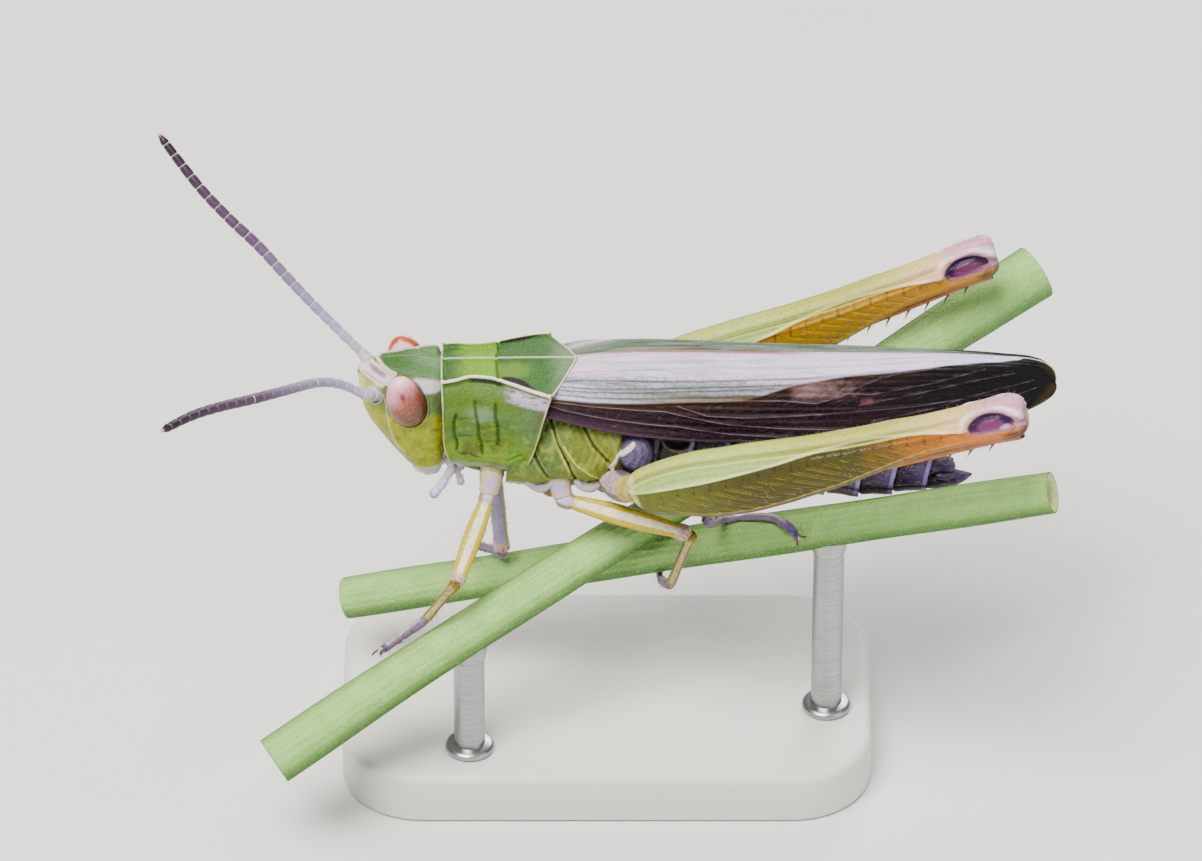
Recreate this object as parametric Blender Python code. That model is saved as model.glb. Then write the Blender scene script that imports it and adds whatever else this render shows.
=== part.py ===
"""Common green grasshopper, life size, gripping two cut grass stems above a plain stand.

Lengths are in millimetres until they reach a mesh, which is in metres.
Body frame: the datum is the top keel of the neck shield at its middle, +X runs to the tail,
+Y to the insect's right, +Z up. The model's origin is the middle of the stand's underside.
"""
from math import asin, copysign, cos, pi, radians, sin

import bpy
from mathutils import Vector

MM = 0.001
GAP = 0.08                               # clearance between neighbouring pieces
DATUM = Vector((-2.72, -0.08, 12.50))    # body datum above the stand's underside

# Head
HEAD_BACK_X = -1.80
HEAD_WIDEST_X = -2.35
EYE_CENTRE = Vector((-2.64, 0.94, -0.71))
EYE_HALF = Vector((0.52, 0.42, 0.80))
EYE_LEAN = radians(14)

# Neck shield (pronotum)
SHIELD_FRONT_X = -1.70
SHIELD_APEX_X = 1.90
SHIELD_SHOULDER_X = 1.21
SHIELD_SHOULDER_Y = 1.46
SHIELD_FLOOR_Z = -2.78

# Body behind the shield
THORAX_REAR_X = 3.92
ABDOMEN_FRONT = Vector((4.20, 0.0, -2.15))
ABDOMEN_REAR = Vector((11.40, 0.0, -3.68))
ABDOMEN_RINGS = 8

# Fore wings (tegmina)
WING_TIP_X = 14.70
WING_THICK = 0.50

# Feelers and legs
FEELER_RADIUS = 0.25
SHIN_RADIUS = 0.25
FOOT_RADIUS = 0.22

# Grass stems: points of each axis, and the radius at its two ends
FRONT_STEM = [(-6.2, -5.18, -9.56), (-2.8, -3.62, -7.87), (2.53, -1.06, -5.54),
              (7.0, 1.48, -3.92), (14.4, 5.60, -1.10)]
REAR_STEM = [(-4.4, 1.30, -8.98), (-1.07, 0.75, -7.92), (4.4, -0.20, -6.20),
             (11.87, -1.50, -3.85), (14.6, -1.97, -2.99)]
STEM_WAIST = 0.57                        # radius at the middle of both stems
STEM_ENDS = {"front": (0.66, 0.78), "rear": (0.56, 0.56)}
STEM_ROUTES = {"front": FRONT_STEM, "rear": REAR_STEM}

# Stand
BASE_SIZE = Vector((14.4, 8.4, 1.5))
BASE_CORNER = 2.2
BASE_EDGE = 0.25
ROD_RADIUS = 0.42
ROD_PLACES = {"front": -1.0, "rear": 8.7}    # x of each rod

COLOURS = {
    "green_shell": ((0.24, 0.33, 0.08), 0.45),
    "cheek_green": ((0.42, 0.47, 0.10), 0.40),
    "eye_brown": ((0.50, 0.24, 0.16), 0.18),
    "wing_membrane": ((0.30, 0.28, 0.30), 0.42),
    "belly_mauve": ((0.24, 0.17, 0.28), 0.45),
    "leg_olive": ((0.42, 0.36, 0.10), 0.42),
    "feeler_lilac": ((0.40, 0.36, 0.42), 0.50),
    "grass_green": ((0.38, 0.54, 0.24), 0.55),
    "stand_white": ((0.72, 0.72, 0.70), 0.55),
    "stand_steel": ((0.62, 0.62, 0.62), 0.30),
}


def clear_scene():
    for thing in list(bpy.data.objects):
        bpy.data.objects.remove(thing)


def material(slot):
    found = bpy.data.materials.get(slot)
    if found:
        return found
    colour, roughness = COLOURS[slot]
    made = bpy.data.materials.new(slot)
    made.use_nodes = True
    shader = made.node_tree.nodes["Principled BSDF"]
    shader.inputs["Base Color"].default_value = (*colour, 1.0)
    shader.inputs["Roughness"].default_value = roughness
    shader.inputs["Metallic"].default_value = 1.0 if slot == "stand_steel" else 0.0
    return made


def add_object(name, points, faces, slot):
    """One closed mesh from points in body millimetres."""
    mesh = bpy.data.meshes.new(name)
    mesh.from_pydata([(Vector(point) + DATUM) * MM for point in points], [], faces)
    mesh.validate()
    mesh.materials.append(material(slot))
    thing = bpy.data.objects.new(name, mesh)
    bpy.context.scene.collection.objects.link(thing)
    mesh.shade_smooth()
    mesh.set_sharp_from_angle(angle=radians(40))
    return thing


def bridge(rings, front=None, back=None):
    """Points and faces of a closed body that joins rings of equal length.

    Each ring turns anticlockwise seen from beyond the last ring. An end closes on its given
    middle point, or else on the mean of its ring.
    """
    count = len(rings[0])
    points = [Vector(point) for ring in rings for point in ring]
    faces = []
    for level in range(len(rings) - 1):
        for step in range(count):
            after = (step + 1) % count
            low, high = level * count, (level + 1) * count
            faces.append((low + step, low + after, high + after, high + step))
    for middle, level, turn in ((front, 0, -1), (back, len(rings) - 1, 1)):
        ring = points[level * count:(level + 1) * count]
        points.append(Vector(middle) if middle is not None else sum(ring, Vector()) / count)
        hub = len(points) - 1
        for step in range(count):
            edge = (level * count + step, level * count + (step + 1) % count)
            faces.append((*edge[::turn], hub))
    return points, faces


def loft(name, rings, slot, front=None, back=None):
    points, faces = bridge(rings, front, back)
    return add_object(name, points, faces, slot)


def table(value, rows):
    """Straight-line reading of a table of rows (place, number or numbers)."""
    rows = [(row[0], row[1:]) for row in rows]
    if value <= rows[0][0]:
        return rows[0][1]
    for (low, first), (high, second) in zip(rows, rows[1:]):
        if value <= high:
            share = (value - low) / (high - low)
            share = share * share * (3 - 2 * share) * 0.5 + share * 0.5
            return tuple(a + (b - a) * share for a, b in zip(first, second))
    return rows[-1][1]


def smooth(points, steps):
    """Catmull-Rom curve through points, with this many steps between two of them."""
    points = [Vector(point) for point in points]
    padded = [2 * points[0] - points[1], *points, 2 * points[-1] - points[-2]]
    curve = []
    for a, b, c, d in zip(padded, padded[1:], padded[2:], padded[3:]):
        for step in range(steps):
            t = step / steps
            curve.append(0.5 * (2 * b + (c - a) * t + (2 * a - 5 * b + 4 * c - d) * t ** 2
                                + (3 * b - a - 3 * c + d) * t ** 3))
    return curve + [points[-1]]


def tube_rings(path, radii, sides, up=Vector((0, 0, 1)), flat=1.0):
    """Rings square to a path. Flat is the width across over the height."""
    rings = []
    for index, place in enumerate(path):
        before, after = path[max(index - 1, 0)], path[min(index + 1, len(path) - 1)]
        along = (after - before).normalized()
        side = along.cross(up).normalized()
        top = side.cross(along)
        radius = radii[index]
        ring = []
        for step in range(sides):
            turn = 2 * pi * step / sides
            ring.append(place + side * cos(turn) * radius * flat - top * sin(turn) * radius)
        rings.append(ring)
    return rings


def tube(name, path, radii, slot, sides=8, up=Vector((0, 0, 1)), flat=1.0):
    ends = [radii(index / (len(path) - 1)) for index in range(len(path))]
    return loft(name, tube_rings(path, ends, sides, up, flat), slot)


def mirror(point, side):
    """A point given for the right side, taken to side +1 (right) or -1 (left)."""
    return Vector((point[0], point[1] * side, point[2]))


def squircle(turn, power):
    """Point of a unit superellipse."""
    across, up = cos(turn), sin(turn)
    return (copysign(abs(across) ** (2 / power), across), copysign(abs(up) ** (2 / power), up))


# ---------------------------------------------------------------- head

# height, face front x, widest half width, power of the front taper
FACE_SLICES = [(0.06, -3.15, 0.28, 1.6), (-0.02, -3.62, 0.50, 1.5), (-0.16, -3.82, 0.66, 1.4),
               (-0.44, -3.95, 0.84, 1.35), (-0.87, -3.96, 0.97, 1.4), (-1.30, -3.88, 1.03, 1.6),
               (-1.75, -3.70, 1.05, 1.8), (-2.20, -3.43, 1.02, 2.0), (-2.65, -3.12, 0.94, 2.2),
               (-3.00, -2.87, 0.82, 2.3), (-3.30, -2.62, 0.66, 2.3), (-3.50, -2.40, 0.46, 2.2)]
HEAD_SIDES = 24


def head_ring(height, front, width, power):
    ring = []
    for step in range(HEAD_SIDES):
        turn = 2 * pi * step / HEAD_SIDES
        facing, across = squircle(turn, power if cos(turn) < 0 else 2.8)
        reach = HEAD_WIDEST_X - front if facing < 0 else HEAD_BACK_X - HEAD_WIDEST_X
        ring.append((HEAD_WIDEST_X + facing * reach, -across * width, height))
    return ring


def eye_rings(centre, grow):
    """Egg-shaped compound eye, leaning back, broader below."""
    rings = []
    for level in range(1, 9):
        tilt = pi * level / 9
        egg = 1.0 + 0.10 * -cos(tilt)
        ring = []
        for step in range(14):
            turn = 2 * pi * step / 14
            x = sin(tilt) * cos(turn) * EYE_HALF.x * egg * grow
            y = sin(tilt) * sin(turn) * EYE_HALF.y * egg * grow
            z = cos(tilt) * EYE_HALF.z * grow
            ring.append(centre + Vector((x * cos(EYE_LEAN) - z * sin(EYE_LEAN), y,
                                         z * cos(EYE_LEAN) + x * sin(EYE_LEAN))))
        rings.append(ring)
    return [ring[::-1] for ring in rings]


def make_head():
    head = loft("head", [head_ring(*row) for row in FACE_SLICES], "cheek_green",
                front=(-2.75, 0, 0.09), back=(-2.15, 0, -3.56))
    for name, side in (("eye_left", -1), ("eye_right", 1)):
        centre = mirror(EYE_CENTRE, side)
        loft(name, eye_rings(centre, 1.0), "eye_brown")
        socket = loft(f"{name}_socket", eye_rings(centre, 1.0 + GAP * 1.6), "eye_brown")
        cut(head, socket)


def cut(thing, cutter):
    cutter.hide_render = True
    cutter.display_type = "WIRE"
    notch = thing.modifiers.new(f"cut by {cutter.name}", "BOOLEAN")
    notch.operation = "DIFFERENCE"
    notch.solver = "EXACT"
    notch.object = cutter


# Route of each feeler and mouth palp
FEELER_ROUTES = {
    "antenna_left": [(-3.74, -0.86, -0.56), (-4.35, -1.16, -0.02), (-4.96, -1.68, 0.41),
                     (-5.81, -2.58, 0.79), (-6.64, -3.48, 1.16), (-7.49, -4.38, 1.55),
                     (-8.16, -5.12, 1.80), (-8.86, -5.98, 1.97)],
    "antenna_right": [(-3.86, 0.78, -0.34), (-4.40, 1.02, 0.14), (-5.12, 1.41, 0.74),
                      (-5.81, 1.83, 1.33), (-6.59, 2.33, 2.02), (-7.33, 2.74, 2.58),
                      (-8.05, 3.18, 3.18), (-8.61, 3.59, 3.74), (-9.23, 4.08, 4.42)],
}
PALP_ROUTE = [(-1.44, 0.50, -3.14), (-1.50, 0.56, -3.50), (-1.72, 0.58, -3.86), (-1.98, 0.56, -4.14)]


def make_feelers():
    for name, route in FEELER_ROUTES.items():
        tube(name, smooth(route, 2), lambda t: FEELER_RADIUS * (1 - 0.25 * t ** 6), "feeler_lilac")
    for name, side in (("palp_left", -1), ("palp_right", 1)):
        route = smooth([mirror(point, side) for point in PALP_ROUTE], 2)
        tube(name, route, lambda t: 0.20 + 0.04 * t, "feeler_lilac")


# ---------------------------------------------------------------- neck shield

# place along (0 front to 1 rear), keel half distance, keel height, flank half width
SHIELD_ROWS = [(0.0, 0.89, -0.16, 1.18), (0.12, 0.84, -0.12, 1.24), (0.25, 0.74, -0.07, 1.28),
               (0.40, 0.80, -0.07, 1.32), (0.58, 1.02, -0.10, 1.38), (0.80, 1.28, -0.16, 1.48),
               (1.0, SHIELD_SHOULDER_Y, -0.22, 1.55)]
SHIELD_LEVELS = 10


def shield_profile(share):
    """Half outline of the shield, from its top keel to the middle of its floor."""
    keel_y, keel_z, flank = table(share, SHIELD_ROWS)
    floor = SHIELD_FLOOR_Z
    return [(0.0, 0.05 * (share - 0.4)), (keel_y * 0.35, keel_z * 0.25 - 0.02),
            (keel_y * 0.75, keel_z * 0.85 - 0.03), (keel_y, keel_z),
            (keel_y + (flank - keel_y) * 0.45, keel_z - 0.34), (flank, -1.0), (flank, -1.6),
            (flank - 0.02, -2.15), (flank - 0.12, -2.60), (flank - 0.34, floor), (0.30, floor)]


def shield_front_x(height):
    return SHIELD_FRONT_X + 0.05 * sin(pi * min(max(-height / 2.8, 0), 1))


def margin_on_top(across):
    """Rear margin of the disc: an obtuse angle whose corner lies on the keel."""
    share = min(across / SHIELD_SHOULDER_Y, 1.0)
    return SHIELD_APEX_X + (SHIELD_SHOULDER_X - SHIELD_APEX_X) * share ** 1.15


def margin_on_flank(height):
    """Rear margin of the lobe: a slant down and forward from the shoulder."""
    rows = [(0.30, SHIELD_SHOULDER_X), (1.0, 1.02), (2.0, 0.76), (2.8, 0.46)]
    return table(-height, rows)[0]


def both_halves(half):
    """A whole outline from its right half, whose first and last rows need no twin on y = 0."""
    left = [(-across, height) for across, height in half if across > 0]
    return half + left[::-1]


def make_shield():
    rings = []
    for level in range(SHIELD_LEVELS + 1):
        share = level / SHIELD_LEVELS
        ring = []
        for across, height in both_halves(shield_profile(share)):
            front = shield_front_x(height)
            on_top = height > -0.30
            rear = margin_on_top(abs(across)) if on_top else margin_on_flank(height)
            ring.append((front + (rear - front) * share, across, height))
        rings.append(ring[::-1])
    loft("pronotum", rings, "green_shell", front=(SHIELD_FRONT_X + 0.04, 0, -1.4),
         back=(0.85, 0, -1.5))


# ---------------------------------------------------------------- thorax and abdomen

THORAX_PROFILE = [(0.0, -0.64), (0.50, -0.66), (0.84, -0.82), (0.92, -1.40), (1.44, -1.84),
                  (1.58, -2.30), (1.50, -2.72), (1.02, -2.98), (0.72, -3.38), (0.30, -3.60)]
THORAX_FRONT_X = [1.64, 1.52, 1.32, 1.08, 0.91, 0.76, 0.62, 0.58, 0.60, 0.60]


def make_thorax():
    fronts = THORAX_FRONT_X + THORAX_FRONT_X[:0:-1]
    outline = both_halves(THORAX_PROFILE)
    rings = []
    for share in (0.0, 0.25, 0.5, 0.75, 1.0):
        waist = 1.0 - 0.10 * share ** 2
        rings.append([(front + (THORAX_REAR_X - front) * share, across * waist, height)
                      for front, (across, height) in zip(fronts, outline)][::-1])
    loft("thorax", rings, "green_shell", front=(1.04, 0, -1.7))
    half = [(0.0, -2.88), (0.42, -2.88), (0.50, -3.05), (0.44, -3.34), (0.2, -3.44)]
    rings = [[(x, across, height) for across, height in both_halves(half)[::-1]]
             for x in (-1.15, -0.8, -0.2, 0.3, 0.5)]
    loft("prosternum", rings, "green_shell")


# share of its length, sag of the middle line, half width, half height
ABDOMEN_ROWS = [(0.0, 0.0, 1.00, 1.38), (0.3, 0.20, 0.98, 1.16), (0.7, 0.34, 0.78, 0.80),
                (0.9, 0.14, 0.62, 0.62), (1.0, 0.0, 0.50, 0.50)]


def abdomen_ring(share, swell):
    sag, width, height = table(share, ABDOMEN_ROWS)
    middle = ABDOMEN_FRONT.lerp(ABDOMEN_REAR, share) - Vector((0, 0, sag))
    ring = []
    for step in range(16):
        turn = 2 * pi * step / 16
        ring.append(middle + Vector((0.16 * sin(turn) * height, cos(turn) * width * swell,
                                     sin(turn) * height * swell)))
    return ring


# length past the abdomen, half width, height above and depth below the middle line
TIP_ROWS = [(0.10, 0.42, 0.50, 0.36), (0.38, 0.40, 0.44, 0.36), (0.62, 0.33, 0.20, 0.34),
            (0.84, 0.24, 0.08, 0.30), (1.02, 0.14, 0.02, 0.24), (1.12, 0.06, -0.04, 0.17)]


def make_abdomen():
    rings = []
    for segment in range(ABDOMEN_RINGS):
        for part, swell in ((0.02, 0.955), (0.30, 0.985), (0.98, 1.0)):
            rings.append(abdomen_ring((segment + part) / ABDOMEN_RINGS, swell))
    loft("abdomen", rings, "belly_mauve")
    rings = []
    for along, across, rise, drop in TIP_ROWS:
        ring = []
        for step in range(14):
            turn = 2 * pi * step / 14
            tall = rise if sin(turn) > 0 else drop
            place = Vector((along, cos(turn) * across, sin(turn) * tall - 0.10))
            ring.append(ABDOMEN_REAR + place)
        rings.append(ring)
    loft("abdomen_tip", rings, "belly_mauve")


# ---------------------------------------------------------------- fore wings

# x, roof middle height, shoulder half width, shoulder height, lower edge half width, its height
WING_ROWS = [(1.1, 0.10, 0.98, 0.02, 1.54, -1.00), (2.5, 0.12, 0.92, 0.04, 1.58, -1.33),
             (3.6, 0.10, 0.86, 0.02, 1.58, -1.50), (5.2, 0.07, 0.80, -0.02, 1.54, -1.64),
             (8.4, 0.03, 0.72, -0.07, 1.40, -1.70), (11.0, 0.01, 0.56, -0.08, 1.06, -1.66),
             (13.0, -0.01, 0.38, -0.08, 0.66, -1.52), (13.9, -0.03, 0.28, -0.10, 0.44, -1.36),
             (14.4, -0.14, 0.20, -0.22, 0.32, -1.16), (14.7, -0.42, 0.12, -0.48, 0.22, -0.90)]
WING_LEVELS = 18


def wing_outline(x, side):
    """Section of one wing: the outer face from the middle down, then the inner face back up."""
    roof, shoulder_y, shoulder_z, edge_y, edge_z = table(x, WING_ROWS)
    middle = GAP / 2
    outer = [(middle, roof), (shoulder_y * 0.55, roof * 0.6 + shoulder_z * 0.4),
             (shoulder_y, shoulder_z),
             (shoulder_y + (edge_y - shoulder_y) * 0.42, shoulder_z + (edge_z - shoulder_z) * 0.32),
             (shoulder_y + (edge_y - shoulder_y) * 0.80, shoulder_z + (edge_z - shoulder_z) * 0.68),
             (edge_y, edge_z)]
    thick = min(WING_THICK, (roof - edge_z) * 0.45)
    inner = [(max(middle, edge_y - WING_THICK), edge_z + 0.02),
             (max(middle, outer[4][0] - WING_THICK), outer[4][1] - 0.03),
             (max(middle, outer[3][0] - WING_THICK), outer[3][1] - 0.12),
             (max(middle, shoulder_y * 0.50), shoulder_z - thick), (middle, roof - thick)]
    return [(across * side, height) for across, height in outer + inner]


def make_wings():
    outer = wing_outline(WING_ROWS[0][0], 1)[:6]
    starts = [max(margin_on_top(across), margin_on_flank(height)) + GAP
              if across < SHIELD_SHOULDER_Y else margin_on_flank(height) + GAP
              for across, height in outer]
    starts += starts[:0:-1]
    for name, side in (("tegmen_left", -1), ("tegmen_right", 1)):
        rings = []
        for level in range(WING_LEVELS + 1):
            share = level / WING_LEVELS
            guide = wing_outline(WING_ROWS[0][0] + (WING_TIP_X - WING_ROWS[0][0]) * share, side)
            ring = []
            for start, (across, height) in zip(starts, guide):
                ring.append((start + (WING_TIP_X - start) * share, across, height))
            rings.append(ring[::-side])
        middle = sum((Vector(point) for point in rings[0]), Vector()) / len(rings[0])
        loft(name, rings, "wing_membrane", front=middle + Vector((0.12, 0, 0)))


# ---------------------------------------------------------------- stems

def stem_radius(which, share):
    end = STEM_ENDS[which][0 if share < 0.5 else 1]
    return STEM_WAIST + (end - STEM_WAIST) * abs(2 * share - 1) ** 1.6


def stem_rings(which, grow):
    path = smooth(STEM_ROUTES[which], 4)
    radii = [stem_radius(which, index / (len(path) - 1)) + grow for index in range(len(path))]
    return tube_rings(path, radii, 12)


def stem_axis(which, x):
    """Point of a stem's axis at this x, and its direction there."""
    curve = smooth(STEM_ROUTES[which], 12)
    for before, after in zip(curve, curve[1:]):
        if x <= after.x:
            place = before.lerp(after, (x - before.x) / (after.x - before.x))
            return place, (after - before).normalized()
    raise ValueError("past the stem's end")


def grip(which, x, turn, spare=0.0):
    """Middle line of a foot on a stem. Turn is in degrees from straight up to +Y."""
    place, along = stem_axis(which, x)
    right = (Vector((0, 1, 0)) - along * along.y).normalized()
    up = along.cross(right)
    reach = STEM_WAIST + FOOT_REST + spare
    return place + (up * cos(radians(turn)) + right * sin(radians(turn))) * reach


def make_stems():
    for which in STEM_ROUTES:
        loft(f"perch_stem_{which}", stem_rings(which, 0), "grass_green")


# ---------------------------------------------------------------- legs

FOOT_REST = FOOT_RADIUS + GAP / 2       # a foot's middle line above a stem's skin

# hip end of the coxa, its lower end, knee, ankle, then the foot's points
SLIM_LEGS = {
    "fore_left": ((-0.32, -0.92, -3.12), (-0.46, -1.20, -3.66), (-1.33, -3.16, -5.16),
                  (-2.15, -2.95, -6.50),
                  [grip("front", -2.66, 30, 0.19), grip("front", -3.02, 22, 0.20)]),
    "fore_right": ((-0.32, 0.92, -3.12), (-0.42, 1.14, -3.66), (-0.11, 0.12, -6.56),
                   (-0.98, 1.36, -7.16),
                   [grip("rear", -1.20, 92, 0.06), grip("rear", -1.35, 130)]),
    "mid_left": ((1.36, -1.16, -3.18), (1.56, -1.46, -3.60), (4.98, -2.00, -4.36),
                 (4.42, -1.16, -6.70),
                 [grip("rear", 4.02, 206, 0.06), grip("rear", 3.90, 150, 0.02)]),
    "mid_right": ((1.36, 1.16, -3.18), (1.56, 1.46, -3.60), (3.60, 3.20, -4.86),
                  (4.45, 1.56, -5.00),
                  [grip("front", 5.0, 48, 0.12), grip("front", 5.6, 40, 0.04)]),
}


def shorten(start, end, at_start, at_end):
    """The two ends of a piece, drawn back so that it clears its neighbours."""
    start, end = Vector(start), Vector(end)
    along = (end - start).normalized()
    return start + along * at_start, end - along * at_end


def make_slim_leg(name, hip, coxa_end, knee, ankle, foot):
    start, end = Vector(hip), Vector(coxa_end)
    tube(f"{name}_coxa", [start.lerp(end, t / 4) for t in range(5)],
         lambda t: 0.32 - 0.06 * t, "green_shell")
    start, end = shorten(coxa_end, knee, 0.30, 0.22)
    thigh = 0.30 if name.startswith("mid") else 0.27
    tube(f"{name}_femur", [start.lerp(end, t / 8) for t in range(9)],
         lambda t: 0.25 + (thigh - 0.25) * 4 * t * (1 - t), "leg_olive", flat=0.95)
    start, end = shorten(knee, ankle, 0.27, 0.0)
    tube(f"{name}_tibia", [start.lerp(end, t / 6) for t in range(7)],
         lambda t: SHIN_RADIUS, "leg_olive")
    begin = Vector(ankle) + (Vector(ankle) - Vector(knee)).normalized() * 0.34
    ways = smooth([begin, *foot], 3)
    tube(f"{name}_tarsus", ways, lambda t: FOOT_RADIUS * (1 - 0.2 * t), "feeler_lilac")


HIND_HIPS = {"hind_left": (3.34, -2.50, -2.46), "hind_right": (3.34, 2.50, -2.46)}
HIND_KNEES = {"hind_left": (13.70, -3.72, 0.90), "hind_right": (13.16, 3.74, 0.84)}

# share of the thigh from hip to knee, drop of its middle line, half height, half thickness
THIGH_ROWS = [(0.015, 0.10, 0.46, 0.36), (0.04, 0.18, 0.66, 0.42), (0.12, 0.24, 0.87, 0.50),
              (0.20, 0.33, 0.98, 0.56), (0.28, 0.38, 0.98, 0.58), (0.36, 0.38, 0.92, 0.58),
              (0.44, 0.36, 0.83, 0.56), (0.52, 0.32, 0.76, 0.54), (0.60, 0.24, 0.66, 0.51),
              (0.68, 0.14, 0.57, 0.48), (0.76, 0.08, 0.53, 0.44), (0.84, 0.05, 0.53, 0.43),
              (0.91, 0.03, 0.58, 0.44), (0.965, 0.02, 0.64, 0.42), (1.0, 0.0, 0.46, 0.34)]
# The folded shin runs straight: its depth below the thigh's line at the knee and at the hip
SHIN_DEPTH_KNEE = 0.54
SHIN_DEPTH_HIP = 1.20
SHIN_SHARES = (0.955, 0.16)
THIGH_SIDES = 14
THIGH_POWER = 2.5


def thigh_frame(name, share):
    hip, knee = Vector(HIND_HIPS[name]), Vector(HIND_KNEES[name])
    along = (knee - hip).normalized()
    side = along.cross(Vector((0, 0, 1))).normalized()
    return hip.lerp(knee, share), side, side.cross(along)


def shin_depth(share):
    return SHIN_DEPTH_HIP + (SHIN_DEPTH_KNEE - SHIN_DEPTH_HIP) * share


def thigh_ring(name, share):
    """Thigh section with the groove that takes the folded shin."""
    place, side, top = thigh_frame(name, share)
    drop, tall, thick = table(share, THIGH_ROWS)
    lip = min(SHIN_RADIUS + GAP, thick * 0.86)
    lip_turn = -pi / 2 + asin((lip / thick) ** (THIGH_POWER / 2))
    flat = []
    for step in range(THIGH_SIDES):
        turn = lip_turn + (2 * (pi / 2 - lip_turn)) * step / (THIGH_SIDES - 1)
        across, up = squircle(turn, THIGH_POWER)
        flat.append((across * thick, up * tall - drop))
    lip_height = flat[0][1]
    roof = max(-shin_depth(share) + SHIN_RADIUS + GAP, lip_height + 0.04)
    wall = (roof + lip_height) / 2
    flat += [(-lip, wall), (-lip * 0.80, roof), (lip * 0.80, roof), (lip, wall)]
    return [place + side * across + top * up for across, up in flat]


def make_hind_leg(name, side, foot):
    hip = Vector(HIND_HIPS[name])
    start = Vector((2.34, 1.36 * side, -3.18))
    end = hip + Vector((0.06, -0.14 * side, -0.16))
    tube(f"{name}_coxa", [start.lerp(end, t / 5) for t in range(6)], lambda t: 0.36 + 0.06 * t,
         "green_shell")
    shares = [0.03, 0.07, 0.13, 0.20, 0.27, 0.34, 0.42, 0.50, 0.58, 0.66, 0.74, 0.81, 0.87, 0.92,
              0.96, 0.985, 1.0]
    loft(f"{name}_femur", [thigh_ring(name, share)[::-1] for share in shares], "leg_olive")
    ends = []
    for share in SHIN_SHARES:
        place, _, top = thigh_frame(name, share)
        ends.append(place - top * shin_depth(share))
    knee, ankle = ends
    tube(f"{name}_tibia", [knee.lerp(ankle, t / 10) for t in range(11)], lambda t: SHIN_RADIUS,
         "leg_olive")
    begin = ankle + Vector((0.10, -0.10 * side, -0.52))
    tube(f"{name}_tarsus", smooth([begin, *foot], 4), lambda t: FOOT_RADIUS * (1.05 - 0.2 * t),
         "feeler_lilac")


HIND_FEET = {
    "hind_left": [grip("rear", 6.1, -8, 0.14), grip("rear", 7.2, -10, 0.02),
                  grip("rear", 7.75, -36, 0.02), grip("rear", 8.05, -72, 0.02)],
    "hind_right": [grip("front", 6.2, 56, 0.16), grip("front", 7.2, 34, 0.08),
                   grip("front", 7.9, 12, 0.08)],
}


def make_legs():
    for name, points in SLIM_LEGS.items():
        make_slim_leg(name, *points)
    for name, side in (("hind_left", -1), ("hind_right", 1)):
        make_hind_leg(name, side, HIND_FEET[name])


# ---------------------------------------------------------------- stand

def rounded_rectangle(size_x, size_y, corner, height):
    ring = []
    for quarter in range(4):
        for step in range(7):
            turn = pi / 2 * (quarter + step / 6)
            sign_x = 1 if quarter in (0, 3) else -1
            sign_y = 1 if quarter in (0, 1) else -1
            ring.append((sign_x * (size_x / 2 - corner) + cos(turn) * corner,
                         sign_y * (size_y / 2 - corner) + sin(turn) * corner, height))
    return [Vector(point) - DATUM for point in ring]


def make_stand():
    x, y, tall = BASE_SIZE
    rings = [rounded_rectangle(x - 2 * BASE_EDGE, y - 2 * BASE_EDGE, BASE_CORNER - BASE_EDGE, 0),
             rounded_rectangle(x, y, BASE_CORNER, BASE_EDGE),
             rounded_rectangle(x, y, BASE_CORNER, tall - BASE_EDGE),
             rounded_rectangle(x - 2 * BASE_EDGE, y - 2 * BASE_EDGE, BASE_CORNER - BASE_EDGE, tall)]
    loft("stand_base", rings, "stand_white")
    for which, place_x in ROD_PLACES.items():
        top, _ = stem_axis(which, place_x)
        foot = Vector((top.x, top.y, tall + GAP - DATUM.z))
        rings = tube_rings([foot, foot.lerp(top, 0.5), top], [ROD_RADIUS] * 3, 16,
                           up=Vector((0, 1, 0)))
        rod = loft(f"stand_rod_{which}", rings, "stand_steel")
        cut(rod, loft(f"stem_saddle_{which}", stem_rings(which, GAP), "grass_green"))


def main():
    clear_scene()
    make_head()
    make_feelers()
    make_shield()
    make_thorax()
    make_abdomen()
    make_wings()
    make_stems()
    make_legs()
    make_stand()


main()
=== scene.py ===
"""Life-size model of a common green grasshopper on two cut grass stems, with its display stand.

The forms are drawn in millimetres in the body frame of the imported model: the datum is the keel
at the middle of the neck shield, +X runs to the tail, +Y to the insect's right, +Z up.
"""
import random
from math import cos, pi, radians, sin

import bpy
import numpy as np
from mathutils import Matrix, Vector


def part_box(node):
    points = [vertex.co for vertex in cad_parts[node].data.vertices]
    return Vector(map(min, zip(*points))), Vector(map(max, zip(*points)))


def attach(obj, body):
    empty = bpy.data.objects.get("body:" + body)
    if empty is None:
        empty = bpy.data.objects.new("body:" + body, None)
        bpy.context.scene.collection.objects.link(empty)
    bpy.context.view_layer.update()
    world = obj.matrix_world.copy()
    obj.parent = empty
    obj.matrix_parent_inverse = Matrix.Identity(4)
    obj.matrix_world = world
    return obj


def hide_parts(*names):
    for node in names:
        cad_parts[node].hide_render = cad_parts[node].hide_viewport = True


bl_info = {
    "name": "Grasshopper on Grass Stems",
    "version": (1, 0, 0),
    "blender": (4, 5, 0),
    "location": "View3D > Sidebar > Grasshopper",
    "description": "Builds the finished surfaces of a life-size grasshopper model and its stand",
    "category": "Object",
}

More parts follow.
